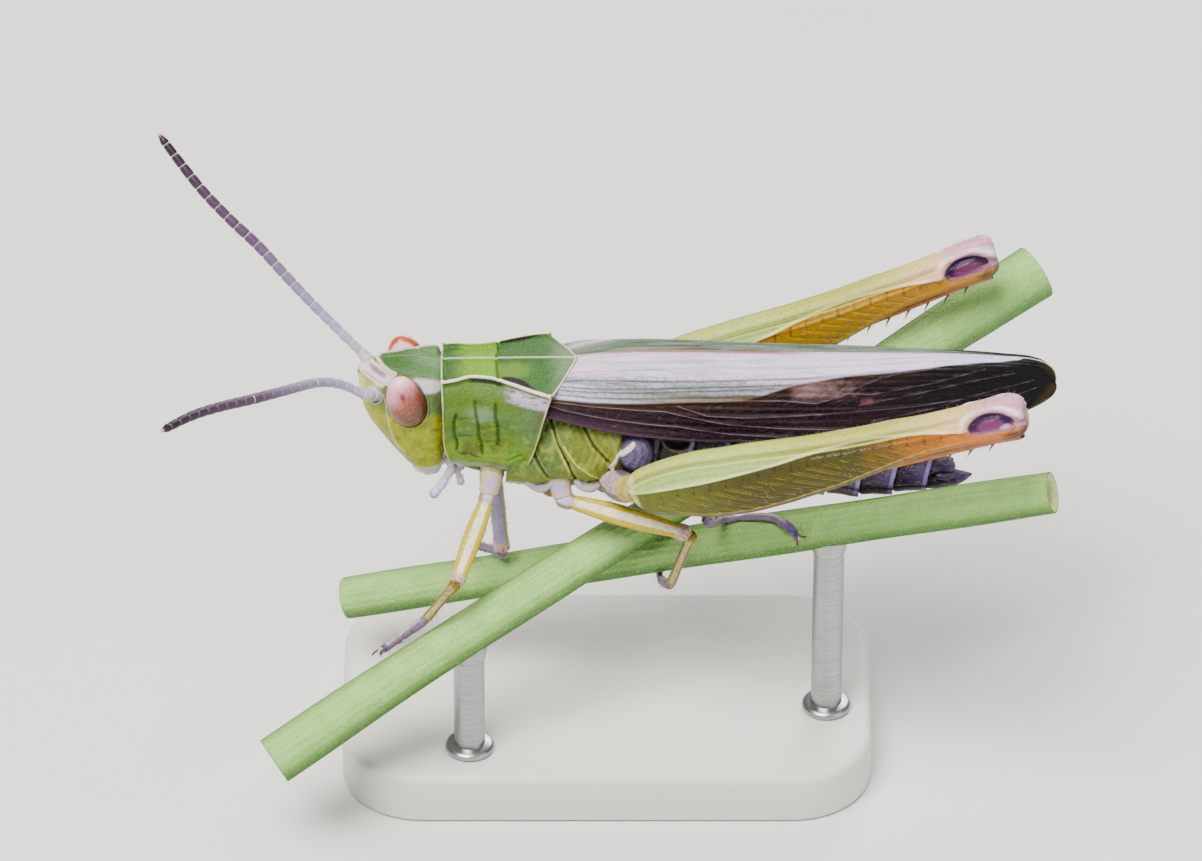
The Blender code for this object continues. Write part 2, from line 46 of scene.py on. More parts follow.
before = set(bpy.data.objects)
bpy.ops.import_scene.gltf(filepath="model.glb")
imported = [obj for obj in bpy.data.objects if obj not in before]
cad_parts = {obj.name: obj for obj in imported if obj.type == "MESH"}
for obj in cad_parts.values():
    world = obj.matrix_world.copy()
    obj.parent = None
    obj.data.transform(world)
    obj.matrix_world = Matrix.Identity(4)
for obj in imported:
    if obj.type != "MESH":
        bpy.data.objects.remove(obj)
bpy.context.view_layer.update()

MM = 0.001
SHIELD_LOW, SHIELD_HIGH = (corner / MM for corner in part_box("pronotum"))
DATUM = Vector((SHIELD_LOW.x + 1.70, (SHIELD_LOW.y + SHIELD_HIGH.y) / 2, SHIELD_HIGH.z - 0.03))
ORIGIN = np.array(DATUM)
UP = np.array((0.0, 0.0, 1.0))
FAR = 9.0                               # in millimetres, past the reach of every mark
SIDES = (("left", -1), ("right", 1))    # names of the body's sides, and their signs along Y


# ---------------------------------------------------------------- settings

CAMERA_RISE = radians(36)               # how far the view looks down
DEEPENING = 1.50                        # the soft light and the view transform pale every colour


def tint(red, green, blue):
    """A display colour of 0 to 255 as the linear colour that a shader takes, deepened."""
    parts = [part / 255 for part in (red, green, blue)]
    parts = [part / 12.92 if part < 0.04045 else ((part + 0.055) / 1.055) ** 2.4 for part in parts]
    return tuple(part ** DEEPENING for part in parts)


def colour_setting(name, description, default):
    return bpy.props.FloatVectorProperty(name=name, description=description, default=default,
                                         subtype="COLOR", size=3, min=0.0, max=1.0)


def length_setting(name, description, default):
    return bpy.props.FloatProperty(name=name, description=description, default=default * MM,
                                   min=0.0, unit="LENGTH", subtype="DISTANCE", precision=5)


class ShellColours(bpy.types.PropertyGroup):
    """Colours of the insect's shell."""

    leaf: colour_setting("Leaf green", "Crown, and the rear of the neck shield", tint(84, 124, 52))
    lime: colour_setting("Lime green", "Front of the neck shield", tint(132, 168, 44))
    cheek: colour_setting("Cheek yellow", "Cheeks and face", tint(168, 172, 10))
    side: colour_setting("Side green", "Side plates of the thorax", tint(112, 136, 44))
    cream: colour_setting("Cream", "Keels, rims and pale stripes", tint(236, 232, 206))
    lilac: colour_setting("Lilac", "Pale patches, wing band and palps", tint(206, 198, 220))
    plum: colour_setting("Plum", "Dark parts of the wings and knees", tint(52, 24, 44))
    mauve: colour_setting("Mauve", "Abdomen and hind coxae", tint(112, 92, 128))
    olive: colour_setting("Olive", "Lower half of the hind thighs, and shins", tint(100, 94, 0))
    pale_green: colour_setting("Pale green", "Upper half of the hind thighs", tint(192, 212, 146))
    orange: colour_setting("Orange", "Hind thighs before the knee", tint(206, 138, 26))
    rose: colour_setting("Rose", "Hind knees and wing spots", tint(214, 172, 184))
    eye: colour_setting("Eye", "Middle of the compound eyes", tint(162, 84, 66))


class ShellSizes(bpy.types.PropertyGroup):
    """Sizes of the insect's fine parts."""

    keel_rise: length_setting("Keel rise", "Height of the raised keels on the neck shield", 0.055)
    vein_rise: length_setting("Vein rise", "Height of the main wing veins", 0.026)
    spine: length_setting("Spine", "Length of the spines on the hind shins", 0.30)
    hair: length_setting("Hair", "Length of the fine hairs on legs and belly", 0.26)
    claw: length_setting("Claw", "Length of the claws", 0.30)
    facet: length_setting("Facet", "Width of one facet of the eyes", 0.028)


class StandSettings(bpy.types.PropertyGroup):
    """Colours and sizes of the stems and the stand."""

    stem: colour_setting("Stem green", "Edges of the grass stems", tint(92, 142, 8))
    # stem_light: the pale middle of the stems, partly their own bloom and partly a painted sheen on the
    # side that faces the camera and the key light
    stem_light: colour_setting("Stem bloom", "Pale middle of the grass stems", tint(180, 212, 142))
    base: colour_setting("Base", "Painted base of the stand", tint(222, 220, 214))
    rod: colour_setting("Rod", "Steel rods of the stand", tint(196, 196, 198))
    floor: colour_setting("Floor", "Studio floor", tint(226, 226, 222))
    camera_distance: length_setting("Camera distance", "From the camera to the insect", 250.0)


def shades():
    return bpy.context.scene.shell_colours


def sizes():
    return bpy.context.scene.shell_sizes


def stand():
    return bpy.context.scene.stand_settings


def show(thing):
    bpy.context.scene.collection.objects.link(thing)


# ---------------------------------------------------------------- shaders

def opaque(colour):
    """A value as it is, a setting's colour, or a display colour of 0 to 255, as a shader takes it."""
    if isinstance(colour, Value):
        return colour
    return (*(tint(*colour) if isinstance(colour, tuple) else colour), 1.0)


class Value:
    """A socket of a shader tree, on which arithmetic adds Math nodes."""

    def __init__(self, finish, socket):
        self.finish = finish
        self.socket = socket

    def maths(self, operation, *others):
        return self.finish.node("ShaderNodeMath", {"operation": operation},
                                dict(enumerate((self, *others))))

    def turned(self, operation, other):
        return self.finish.node("ShaderNodeMath", {"operation": operation}, {0: other, 1: self})

    def __add__(self, other):
        return self.maths("ADD", other)

    def __radd__(self, other):
        return self.turned("ADD", other)

    def __sub__(self, other):
        return self.maths("SUBTRACT", other)

    def __rsub__(self, other):
        return self.turned("SUBTRACT", other)

    def __mul__(self, other):
        return self.maths("MULTIPLY", other)

    def __rmul__(self, other):
        return self.turned("MULTIPLY", other)

    def __abs__(self):
        return self.maths("ABSOLUTE")

    def rise(self, low, high):
        """0 at low and 1 at high, eased at both ends."""
        return self.finish.node("ShaderNodeMapRange", {"interpolation_type": "SMOOTHSTEP"},
                                {0: self, 1: low, 2: high})

    def band(self, low, high, soft):
        """1 between low and high, fading over soft."""
        return self.rise(low - soft, low + soft) * self.rise(high + soft, high - soft)

    def near(self, middle, reach):
        """1 at middle, fading to 0 at a distance of reach."""
        return abs(self - middle).rise(reach, 0.0)

    def square(self, middle):
        """The square of the distance from middle."""
        away = self - middle
        return away * away

    def other(self, index):
        """Another output of the node that made this one."""
        return Value(self.finish, self.socket.node.outputs[index])


class Finish:
    """One material of the model."""

    def __init__(self, name, roughness=0.45, **constants):
        self.material = bpy.data.materials.new(name)
        self.material.use_nodes = True
        self.tree = self.material.node_tree
        self.shader = self.tree.nodes["Principled BSDF"]
        self.set("Roughness", roughness)
        self.set("Specular IOR Level", 0.28)
        for key, value in constants.items():
            self.set(key.replace("_", " "), value)
        self.found = {}

    def set(self, socket, value):
        if isinstance(value, Value):
            self.tree.links.new(value.socket, self.shader.inputs[socket])
        else:
            self.shader.inputs[socket].default_value = value

    def coated(self, colour, *rises, rough=None, glow=None):
        """The finish, with its colour, its bumps as (height, distance in mm) pairs laid over each other,
        its roughness, and its glow: the share of the light that enters the shell, and how far it spreads.
        """
        self.set("Base Color", colour)
        if rough:
            self.set("Roughness", rough)
        if glow:
            self.set("Subsurface Weight", glow[0])
            self.set("Subsurface Scale", glow[1] * MM)
            self.set("Subsurface Radius", (1.0, 0.8, 0.4))
        normal = None
        for height, distance in rises:
            inputs = {"Height": height, "Distance": distance * MM, "Strength": 1.0}
            if normal:
                inputs["Normal"] = normal
            normal = self.node("ShaderNodeBump", None, inputs)
        if normal:
            self.set("Normal", normal)
        return self

    def node(self, kind, settings=None, inputs=None, output=0):
        made = self.tree.nodes.new(kind)
        for key, value in (settings or {}).items():
            if key == "stops":
                self.set_stops(made.color_ramp, value)
            else:
                setattr(made, key, value)
        for key, value in (inputs or {}).items():
            if isinstance(value, Value):
                self.tree.links.new(value.socket, made.inputs[key])
            else:
                made.inputs[key].default_value = value
        return Value(self, made.outputs[output])

    def set_stops(self, ramp, stops):
        while len(ramp.elements) < len(stops):
            ramp.elements.new(0.5)
        for element, (place, colour) in zip(ramp.elements, stops):
            element.position = place
            element.color = opaque(colour)

    def place(self, axis=None):
        """Place on the insect in millimetres of the body frame: the vector, or one axis of it."""
        if "place" not in self.found:
            raw = self.node("ShaderNodeTexCoord", output=3)
            grown = self.node("ShaderNodeVectorMath", {"operation": "SCALE"}, {0: raw, 3: 1 / MM})
            self.found["place"] = self.node("ShaderNodeVectorMath", {"operation": "SUBTRACT"},
                                            {0: grown, 1: tuple(DATUM)})
            self.found["axes"] = self.node("ShaderNodeSeparateXYZ", None, {0: self.found["place"]})
        if axis is None:
            return self.found["place"]
        return self.found["axes"].other("xyz".index(axis))

    def field(self, name):
        """A number stored on the mesh's points."""
        if name not in self.found:
            self.found[name] = self.node("ShaderNodeAttribute", {"attribute_name": name}, output=2)
        return self.found[name]

    def fields(self, *names):
        return [self.field(name) for name in names]

    def stretched(self, x, y, z, vector=None):
        """A vector, the place as a rule, drawn out or pressed together along each axis."""
        return self.node("ShaderNodeVectorMath", {"operation": "MULTIPLY"},
                         {0: vector or self.place(), 1: (x, y, z)})

    def joined(self, x, y, z):
        return self.node("ShaderNodeCombineXYZ", None, {0: x, 1: y, 2: z})

    def noise(self, scale, detail=3.0, vector=None):
        return self.node("ShaderNodeTexNoise", None,
                         {"Vector": vector or self.place(), "Scale": scale, "Detail": detail,
                          "Roughness": 0.55})

    def drift(self, scale):
        """Soft noise about zero, which makes a border wander."""
        return self.noise(scale, 4.0) - 0.5

    def cells(self, scale, vector=None, feature="F1"):
        return self.node("ShaderNodeTexVoronoi", {"feature": feature},
                         {"Vector": vector or self.place(), "Scale": scale})

    def mix(self, mask, first, second):
        """A colour that goes from the first to the second as the mask goes from 0 to 1."""
        return self.node("ShaderNodeMix", {"data_type": "RGBA"},
                         {0: mask, 6: opaque(first), 7: opaque(second)}, output=2)

    def layers(self, ground, *coats):
        """Coats of (mask, colour) laid over the ground in turn."""
        for mask, colour in coats:
            ground = self.mix(mask, ground, colour)
        return ground

    def dapple(self, colour, amount, scale=6.0, detail=4.0):
        """The colour, a little darker and lighter from place to place."""
        value = self.noise(scale, detail).rise(0.30, 0.70) * (2 * amount) + (1 - amount)
        return self.node("ShaderNodeHueSaturation", None, {"Value": value, "Color": opaque(colour)})


# ---------------------------------------------------------------- shapes

def spline(rows, at):
    """Smooth reading of rows (place, numbers...) at the places given, without overshoot."""
    rows = np.array(rows, float)
    at = np.clip(np.atleast_1d(np.asarray(at, float)), rows[0, 0], rows[-1, 0])
    run = np.diff(rows[:, 0])[:, None]
    slope = np.diff(rows[:, 1:], axis=0) / run
    bend = np.zeros_like(rows[:, 1:])
    same = slope[1:] * slope[:-1] > 0
    total = slope[1:] + slope[:-1]
    bend[1:-1] = np.where(same, 2 * slope[1:] * slope[:-1] / np.where(same, total, 1), 0)
    bend[0], bend[-1] = slope[0], slope[-1]
    cell = np.clip(np.searchsorted(rows[:, 0], at, side="right") - 1, 0, len(run) - 1)
    t = ((at - rows[cell, 0]) / run[cell, 0])[:, None]
    low, high = rows[cell, 1:], rows[cell + 1, 1:]
    return ((2 * t**3 - 3 * t**2 + 1) * low + (t**3 - 2 * t**2 + t) * run[cell] * bend[cell]
            + (3 * t**2 - 2 * t**3) * high + (t**3 - t**2) * run[cell] * bend[cell + 1])


def curve(points, steps):
    """Catmull-Rom curve through points, with this many steps between two of them."""
    points = np.array(points, float)
    padded = np.vstack([2 * points[0] - points[1], points, 2 * points[-1] - points[-2]])
    made = []
    for a, b, c, d in zip(padded, padded[1:], padded[2:], padded[3:]):
        for t in np.arange(steps) / steps:
            made.append(0.5 * (2 * b + (c - a) * t + (2 * a - 5 * b + 4 * c - d) * t**2
                               + (3 * b - a - 3 * c + d) * t**3))
    return np.array(made + [points[-1]])


def lengths(path):
    """Length along a path up to each of its points."""
    return np.concatenate([[0.0], np.cumsum(np.linalg.norm(np.diff(path, axis=0), axis=1))])


def row_lengths(rows):
    """Length along each row of points up to each of its points."""
    steps = np.linalg.norm(np.diff(rows, axis=1), axis=-1)
    return np.concatenate([np.zeros((len(rows), 1)), np.cumsum(steps, axis=1)], 1)


def even(path, count):
    """The path, read at evenly spaced places."""
    run = lengths(path)
    at = np.linspace(0, run[-1], count)
    return np.stack([np.interp(at, run, path[:, axis]) for axis in range(3)], 1)


def limb(points, steps, count):
    """Evenly spaced places on a curve through points, and the share of the way at each of them."""
    return even(curve(points, steps), count), np.linspace(0, 1, count)


def unit(vectors):
    return vectors / np.maximum(np.linalg.norm(vectors, axis=-1, keepdims=True), 1e-9)


def directions(path, up=UP):
    """Along, side and top directions at each point of a path."""
    along = unit(np.gradient(path, axis=0))
    side = unit(np.cross(along, up))
    return along, side, np.cross(side, along)


def ring_turns(count):
    """Angles of evenly spaced places round a ring."""
    return np.arange(count) * 2 * pi / count


def tube_rings(path, radii, sides, up=UP, flat=1.0):
    """Rings square to a path. Turn 0 is the side and a quarter turn the top."""
    _, side, top = directions(np.asarray(path, float), up)
    turns = ring_turns(sides)
    radii = np.broadcast_to(np.asarray(radii, float), (len(path),))[:, None, None]
    return (path[:, None] + side[:, None] * np.cos(turns)[None, :, None] * radii * flat
            + top[:, None] * np.sin(turns)[None, :, None] * radii)


def off(points, line):
    """Distance of each point from a broken line, in as many axes as the line has."""
    line = np.array(line, float)
    best = np.full(points.shape[:-1], FAR)
    for start, end in zip(line, line[1:]):
        way = end - start
        share = np.clip(((points - start) @ way) / (way @ way), 0, 1)
        best = np.minimum(best, np.linalg.norm(points - start - share[..., None] * way, axis=-1))
    return best


def off_all(points, lines):
    """Distance of each point from the nearest of several lines."""
    return np.min([off(points, line) for line in lines], axis=0)


def hump(distance, width):
    """1 on a line, falling off softly over the width."""
    return np.exp(-(distance / width) ** 2)


def ease(value, low, high):
    share = np.clip((value - low) / (high - low), 0, 1)
    return share * share * (3 - 2 * share)


def round_ends(places, power, least=0.004):
    """Girth that rounds off towards -1 and 1."""
    return np.sqrt(np.clip(1 - np.abs(places) ** power, least, 1))


def outward(rings, closed=True):
    """Unit normals of a grid of rings, away from the rings' middles, and whether they were turned."""
    if closed:
        padded = np.concatenate([rings[:, -1:], rings, rings[:, :1]], 1)
        around = padded[:, 2:] - padded[:, :-2]
    else:
        around = np.gradient(rings, axis=1)
    normals = unit(np.cross(around, np.gradient(rings, axis=0)))
    turned = (normals * (rings - rings.mean(1, keepdims=True))).sum() < 0
    return (-normals, True) if turned else (normals, False)


def raised(rings, height, closed=True):
    """The grid, with each point moved out along its normal."""
    return rings + outward(rings, closed)[0] * np.asarray(height)[..., None]


HEM = 10                                # how many rows a hem turns under


def hemmed(rings, thick):
    """An open sheet whose edges turn under, which shows its thickness."""
    inner = rings - outward(rings, False)[0] * thick
    low, high = slice(HEM, HEM + 1), slice(-HEM - 1, -HEM)
    rings = np.concatenate([inner[low], inner[:1], rings, inner[-1:], inner[high]])
    inner = np.concatenate([inner[low], inner[:1], inner, inner[-1:], inner[high]])
    return np.concatenate([inner[:, low], inner[:, :1], rings, inner[:, -1:], inner[:, high]], 1)


class Form:
    """Points, faces and point numbers of one piece, in body millimetres."""

    def __init__(self):
        self.points = []
        self.faces = []
        self.coats = []
        self.fields = {}
        self.count = 0

    def add(self, points, faces, coat=0, **fields):
        for name in set(self.fields) - set(fields):
            fields[name] = 0.0
        for name, value in fields.items():
            column = self.fields.setdefault(name, [np.zeros(self.count)] if self.count else [])
            column.append(np.broadcast_to(np.asarray(value, float), (len(points),)).astype(float))
        self.faces += [tuple(corner + self.count for corner in face) for face in faces]
        self.coats += [coat] * len(faces)
        self.points.append(np.asarray(points, float))
        self.count += len(points)

    def grid(self, rings, closed=True, ends=(True, True), coat=0, **fields):
        """A skin over a grid of rings, turned so that it faces out, with its ends closed."""
        rows, columns = rings.shape[:2]
        fields = {name: np.broadcast_to(value, (rows, columns)) for name, value in fields.items()}
        points = rings.reshape(-1, 3)
        flat = {name: value.reshape(-1) for name, value in fields.items()}
        index = np.arange(rows * columns).reshape(rows, columns)
        after = np.roll(index, -1, 1) if closed else index[:, 1:]
        before = index if closed else index[:, :-1]
        quads = np.stack([before[:-1], after[:-1], after[1:], before[1:]], -1)
        turned = outward(rings, closed)[1]
        way = -1 if turned else 1
        faces = [tuple(face) for face in quads.reshape(-1, 4)[:, ::way].tolist()]
        if closed:
            for wanted, row, turn in ((ends[0], 0, -way), (ends[1], rows - 1, way)):
                if wanted:
                    hub = len(points)
                    points = np.vstack([points, rings[row].mean(0)])
                    for name in flat:
                        flat[name] = np.append(flat[name], fields[name][row].mean())
                    edge = index[row].tolist()
                    for first, second in zip(edge, edge[1:] + edge[:1]):
                        faces.append((*(first, second)[::turn], hub))
        self.add(points, faces, coat, **flat)

    def sheet(self, rings, thick, **fields):
        """An open sheet with hems along its edges."""
        self.grid(hemmed(rings, thick), closed=False,
                  **{name: np.pad(value, 2, mode="edge") for name, value in fields.items()})

    def face_along(self, first, way):
        """Turns the faces on the points from first on, if they look away from this direction."""
        points = np.vstack(self.points)
        chosen = [index for index, face in enumerate(self.faces) if min(face) >= first]
        total = sum(np.cross(points[face[1]] - points[face[0]], points[face[2]] - points[face[0]])
                    for face in (self.faces[index] for index in chosen))
        if total @ way < 0:
            for index in chosen:
                self.faces[index] = self.faces[index][::-1]

    def tube(self, path, radii, sides=12, coat=0, up=UP, flat=1.0, **fields):
        """A tube with its run along the path, and its up and out on the section, kept."""
        path = np.asarray(path, float)
        turns = ring_turns(sides)
        run = lengths(path)
        self.grid(tube_rings(path, radii, sides, up, flat), coat=coat, run=run[:, None],
                  share=(run / run[-1])[:, None], up=np.sin(turns)[None], out=np.cos(turns)[None],
                  **fields)

    def thorn(self, root, tip, radius, sides=6, bend=None, coat=0, steps=4, **fields):
        """A tapering spine, claw or hair from root to tip, bowed towards bend."""
        root, tip = np.asarray(root, float), np.asarray(tip, float)
        bow = np.zeros(3) if bend is None else np.asarray(bend, float)
        shares = np.linspace(0, 1, steps)[:, None]
        path = root + (tip - root) * shares + bow * np.sin(shares * pi)
        along = unit(tip - root)
        up = UP if abs(along[2]) < 0.9 else np.array((1.0, 0, 0))
        rings = tube_rings(path, radius * (1 - 0.9 * shares[:, 0] ** 1.2), sides, up)
        self.grid(rings, coat=coat, run=shares, share=shares, **fields)

    def made(self, name, nodes, slot, *finishes, sharp=None):
        """The piece itself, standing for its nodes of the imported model."""
        mesh = bpy.data.meshes.new(name)
        points = (np.vstack(self.points) + ORIGIN) * MM
        mesh.from_pydata(points.tolist(), [], self.faces)
        for field, columns in self.fields.items():
            layer = mesh.attributes.new(field, "FLOAT", "POINT")
            layer.data.foreach_set("value", np.concatenate(columns).astype(np.float32))
        for finish in finishes:
            mesh.materials.append(finish.material)
        mesh.polygons.foreach_set("material_index", self.coats)
        mesh.shade_smooth()
        if sharp:
            mesh.set_sharp_from_angle(angle=radians(sharp))
        mesh.update()
        piece = bpy.data.objects.new(name, mesh)
        show(piece)
        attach(piece, "root")
        if nodes:
            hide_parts(*nodes)
        return piece


# ---------------------------------------------------------------- head

# place down the head, height, face front x, middle x, rear x, half width, power of the front taper
HEAD_ROWS = (
    (0.00, 0.100, -2.76, -2.75, -2.70, 0.01, 2.0), (0.60, 0.060, -3.15, -2.35, -1.60, 0.28, 1.6),
    (1.05, -0.02, -3.62, -2.35, -1.45, 0.50, 1.5), (1.30, -0.16, -3.82, -2.35, -1.45, 0.66, 1.4),
    (1.62, -0.44, -3.95, -2.35, -1.45, 0.84, 1.35), (2.05, -0.87, -3.96, -2.35, -1.45, 0.97, 1.4),
    (2.50, -1.30, -3.88, -2.35, -1.45, 1.03, 1.6), (2.98, -1.75, -3.69, -2.35, -1.45, 1.05, 1.7),
    (3.50, -2.20, -3.40, -2.35, -1.50, 1.02, 1.7), (4.05, -2.65, -3.06, -2.30, -1.60, 0.94, 1.75),
    (4.48, -3.00, -2.76, -2.18, -1.66, 0.82, 1.8), (4.87, -3.30, -2.50, -2.08, -1.70, 0.64, 1.9),
    (5.15, -3.50, -2.30, -2.02, -1.78, 0.42, 2.0), (5.60, -3.56, -2.06, -2.04, -2.02, 0.01, 2.0),
)
EYE_CENTRE = np.array((-2.64, 0.94, -0.71))
EYE_HALF = np.array((0.52, 0.42, 0.80))
EYE_LEAN = radians(14)
SOCKET = np.array((-3.44, 0.50, -0.80))  # where a feeler grows
# Lines of the right half of the head. Pairs are places along the body and heights in the main view.
CROWN_EDGE = ((-3.42, 0.03), (-3.24, -0.21), (-3.05, -0.35), (-2.90, -0.42), (-2.55, -0.52),
              (-2.37, -0.45), (-2.03, -0.41), (-1.60, -0.42))
FOVEA_EDGE = ((-3.86, -0.22), (-3.78, -0.36), (-3.55, -0.55), (-3.24, -0.73))
FOVEA = ((-3.72, -0.06), (-3.60, -0.20), (-3.34, -0.39), (-3.06, -0.57))
BROW_KEEL = ((-3.90, 0.15, -0.30), (-4.00, 0.19, -0.90), (-3.90, 0.24, -1.50), (-3.60, 0.30, -2.10),
             (-3.20, 0.36, -2.62))
FACE_KEEL = ((-3.20, -0.94), (-3.16, -1.20), (-3.13, -1.48), (-3.05, -1.90), (-2.88, -2.26),
             (-2.66, -2.46))
CHEEK_GROOVE = ((-2.80, 1.06, -1.36), (-2.74, 1.06, -1.90), (-2.62, 1.04, -2.50))
CLYPEUS_LINE = ((-3.16, 0.00, -2.62), (-3.05, 0.40, -2.62), (-2.74, 0.84, -2.66), (-2.36, 0.98, -2.84))
LABRUM_LINE = ((-2.82, 0.00, -2.98), (-2.72, 0.34, -2.98), (-2.50, 0.60, -3.00))
MOUTH_RIM = ((-2.68, 0.60, -2.94), (-2.42, 0.86, -2.98), (-2.10, 0.84, -3.02), (-1.80, 0.72, -3.04))
TEMPLE_PATCH = ((-2.28, 0.90, -0.24), (-1.60, 0.84, -0.20))
SKYLINE_START = 4.3                     # how far ahead of the datum the first column lies
SKYLINE_STEP = 0.05


def eye_depth(points):
    """How far out each point lies in the egg of its eye: 1 on the eye's surface."""
    place = points - EYE_CENTRE
    x = place[..., 0] * cos(EYE_LEAN) + place[..., 2] * sin(EYE_LEAN)
    z = place[..., 2] * cos(EYE_LEAN) - place[..., 0] * sin(EYE_LEAN)
    egg = 1 - 0.10 * z / EYE_HALF[2]
    return np.sqrt((x / EYE_HALF[0] / egg) ** 2 + (place[..., 1] / EYE_HALF[1] / egg) ** 2
                   + (z / EYE_HALF[2]) ** 2)


def superellipse(turns, power):
    across, up = np.cos(turns), np.sin(turns)
    return (np.sign(across) * np.abs(across) ** (2 / power), np.sign(up) * np.abs(up) ** (2 / power))


def head_rings():
    rows = spline(HEAD_ROWS, np.linspace(0, HEAD_ROWS[-1][0], 230))
    turns = ring_turns(260)
    height, front, middle, rear, width, power = (column[:, None] for column in rows.T)
    ahead, across = superellipse(turns[None], np.where(np.cos(turns)[None] < 0, power, 2.8))
    reach = np.where(ahead < 0, middle - front, rear - middle)
    return np.stack([middle + ahead * reach, across * width, height + 0 * ahead], -1)


def cheek_swellings(half, crown):
    """Low uneven swellings of the cheeks."""
    draw = np.random.default_rng(3)
    total = np.zeros(half.shape[:2])
    for _ in range(70):
        spot = np.array((draw.uniform(-3.8, -1.8), draw.uniform(0.2, 1.1), draw.uniform(-2.9, -0.9)))
        total += draw.uniform(-0.012, 0.012) * hump(np.linalg.norm(half - spot, axis=-1),
                                                    draw.uniform(0.08, 0.20))
    return total * (1 - crown)


def make_head():
    rings = head_rings()
    half = np.abs(rings) * (0, 1, 0) + rings * (1, 0, 1)
    depth = eye_depth(half)
    orbit = np.abs(depth - 1.07)
    socket = np.linalg.norm(half - SOCKET, axis=-1)
    seen = np.stack([half[..., 0], half[..., 2] * cos(CAMERA_RISE) - half[..., 1] * sin(CAMERA_RISE)], -1)
    crown_edge, fovea_edge = off(seen, CROWN_EDGE), off(seen, FOVEA_EDGE)
    brow, face = off(half, BROW_KEEL), off(seen, FACE_KEEL)
    clypeus, labrum = off(half, CLYPEUS_LINE), off(half, LABRUM_LINE)
    groove, rim = off(half, CHEEK_GROOVE), off(half, MOUTH_RIM)
    median = half[..., 1] + FAR * (half[..., 2] < -0.2)
    fovea = off(seen, FOVEA)
    level = np.interp(half[..., 0], *np.array(CROWN_EDGE).T)
    crown = ease(seen[..., 1] - level, -0.025, 0.025) * (half[..., 0] > CROWN_EDGE[0][0])
    hind_crown = ease(rings[..., 0], -2.6, -1.65) * ease(rings[..., 2], -1.0, -0.1)
    far_raise = 0.29 * ease(rings[..., 1], 0.05, 0.50) * ease(-rings[..., 0], 1.71, 1.84)
    rings[..., 2] -= (0.15 - far_raise) * hind_crown
    between_keels = ease(0.24 - half[..., 1], 0, 0.14) * ease(-half[..., 2], 0.4, 0.7)
    height = (0.045 * hump(crown_edge, 0.05) + 0.045 * hump(fovea_edge, 0.05) - 0.05 * hump(fovea, 0.13)
              + 0.06 * hump(brow, 0.07) - 0.06 * between_keels + 0.04 * hump(face, 0.07)
              - 0.035 * hump(groove, 0.05) - 0.05 * hump(clypeus, 0.04) - 0.04 * hump(labrum, 0.03)
              + 0.03 * hump(rim, 0.06) + 0.035 * hump(orbit, 0.05) - 0.14 * ease(1.04 - depth, 0, 0.2)
              + 0.10 * hump(np.abs(socket - 0.24), 0.06) - 0.12 * ease(0.22 - socket, 0, 0.1)
              + 0.010 * hump(median, 0.03) + cheek_swellings(half, crown)
              + 0.05 * hump(np.linalg.norm(half - (-3.97, 0.0, -1.02), axis=-1), 0.08)
              + 0.05 * hump(np.linalg.norm(half - (-3.62, 0.60, -0.42), axis=-1), 0.07)
              + 0.008 * np.sin(half[..., 2] * 19) * hump(half[..., 1] - 1.0, 0.3) * (half[..., 2] < -1.5))
    rings = raised(rings, height)
    edge = np.maximum(crown_edge, FAR * (half[..., 0] > -2.86))
    sight = rings[..., 2] * cos(CAMERA_RISE) + rings[..., 1] * sin(CAMERA_RISE)
    columns = ((rings[..., 0] + SKYLINE_START) / SKYLINE_STEP).astype(int)
    skyline = np.full(columns.max() + 1, -FAR)      # the highest that is seen in each column
    np.maximum.at(skyline, columns, sight)
    middles = (np.arange(len(skyline)) + 0.5) * SKYLINE_STEP - SKYLINE_START
    skyline = np.interp(rings[..., 0], middles, skyline)
    far_rim = skyline - sight + FAR * (rings[..., 1] < 0.2)
    pale = np.minimum.reduce([edge, fovea_edge, brow + 0.02, face + 0.035, orbit + 0.045,
                              rim, median + 0.050, far_rim])
    dark = np.minimum.reduce([groove + 0.03, clypeus, labrum, np.abs(socket - 0.20)])
    form = Form()
    form.grid(rings, pale=pale, dark=dark, fovea=fovea, crown=crown, temple=off(half, TEMPLE_PATCH),
              side=half[..., 1], depth=depth, front=socket)
    for across in (-1, 1):                        # jaws and lower lip
        jaw = np.array([(-2.30, 0.50 * across, -3.06), (-2.26, 0.40 * across, -3.30),
                        (-2.20, 0.24 * across, -3.50)])
        form.tube(curve(jaw, 6), np.array([0.20, 0.22, 0.22, 0.21, 0.20, 0.18, 0.16, 0.14, 0.13,
                                           0.11, 0.08, 0.05, 0.01]), 16, coat=1)
        lip = np.array([(-2.02, 0.34 * across, -3.20), (-2.06, 0.30 * across, -3.44),
                        (-2.20, 0.20 * across, -3.62)])
        form.tube(curve(lip, 6), 0.16 * np.sqrt(1 - np.linspace(0, 0.995, 13) ** 3), 14, coat=1)
    form.made("head_shell", ["head"], "head_skin", head_paint(), mouth_paint())


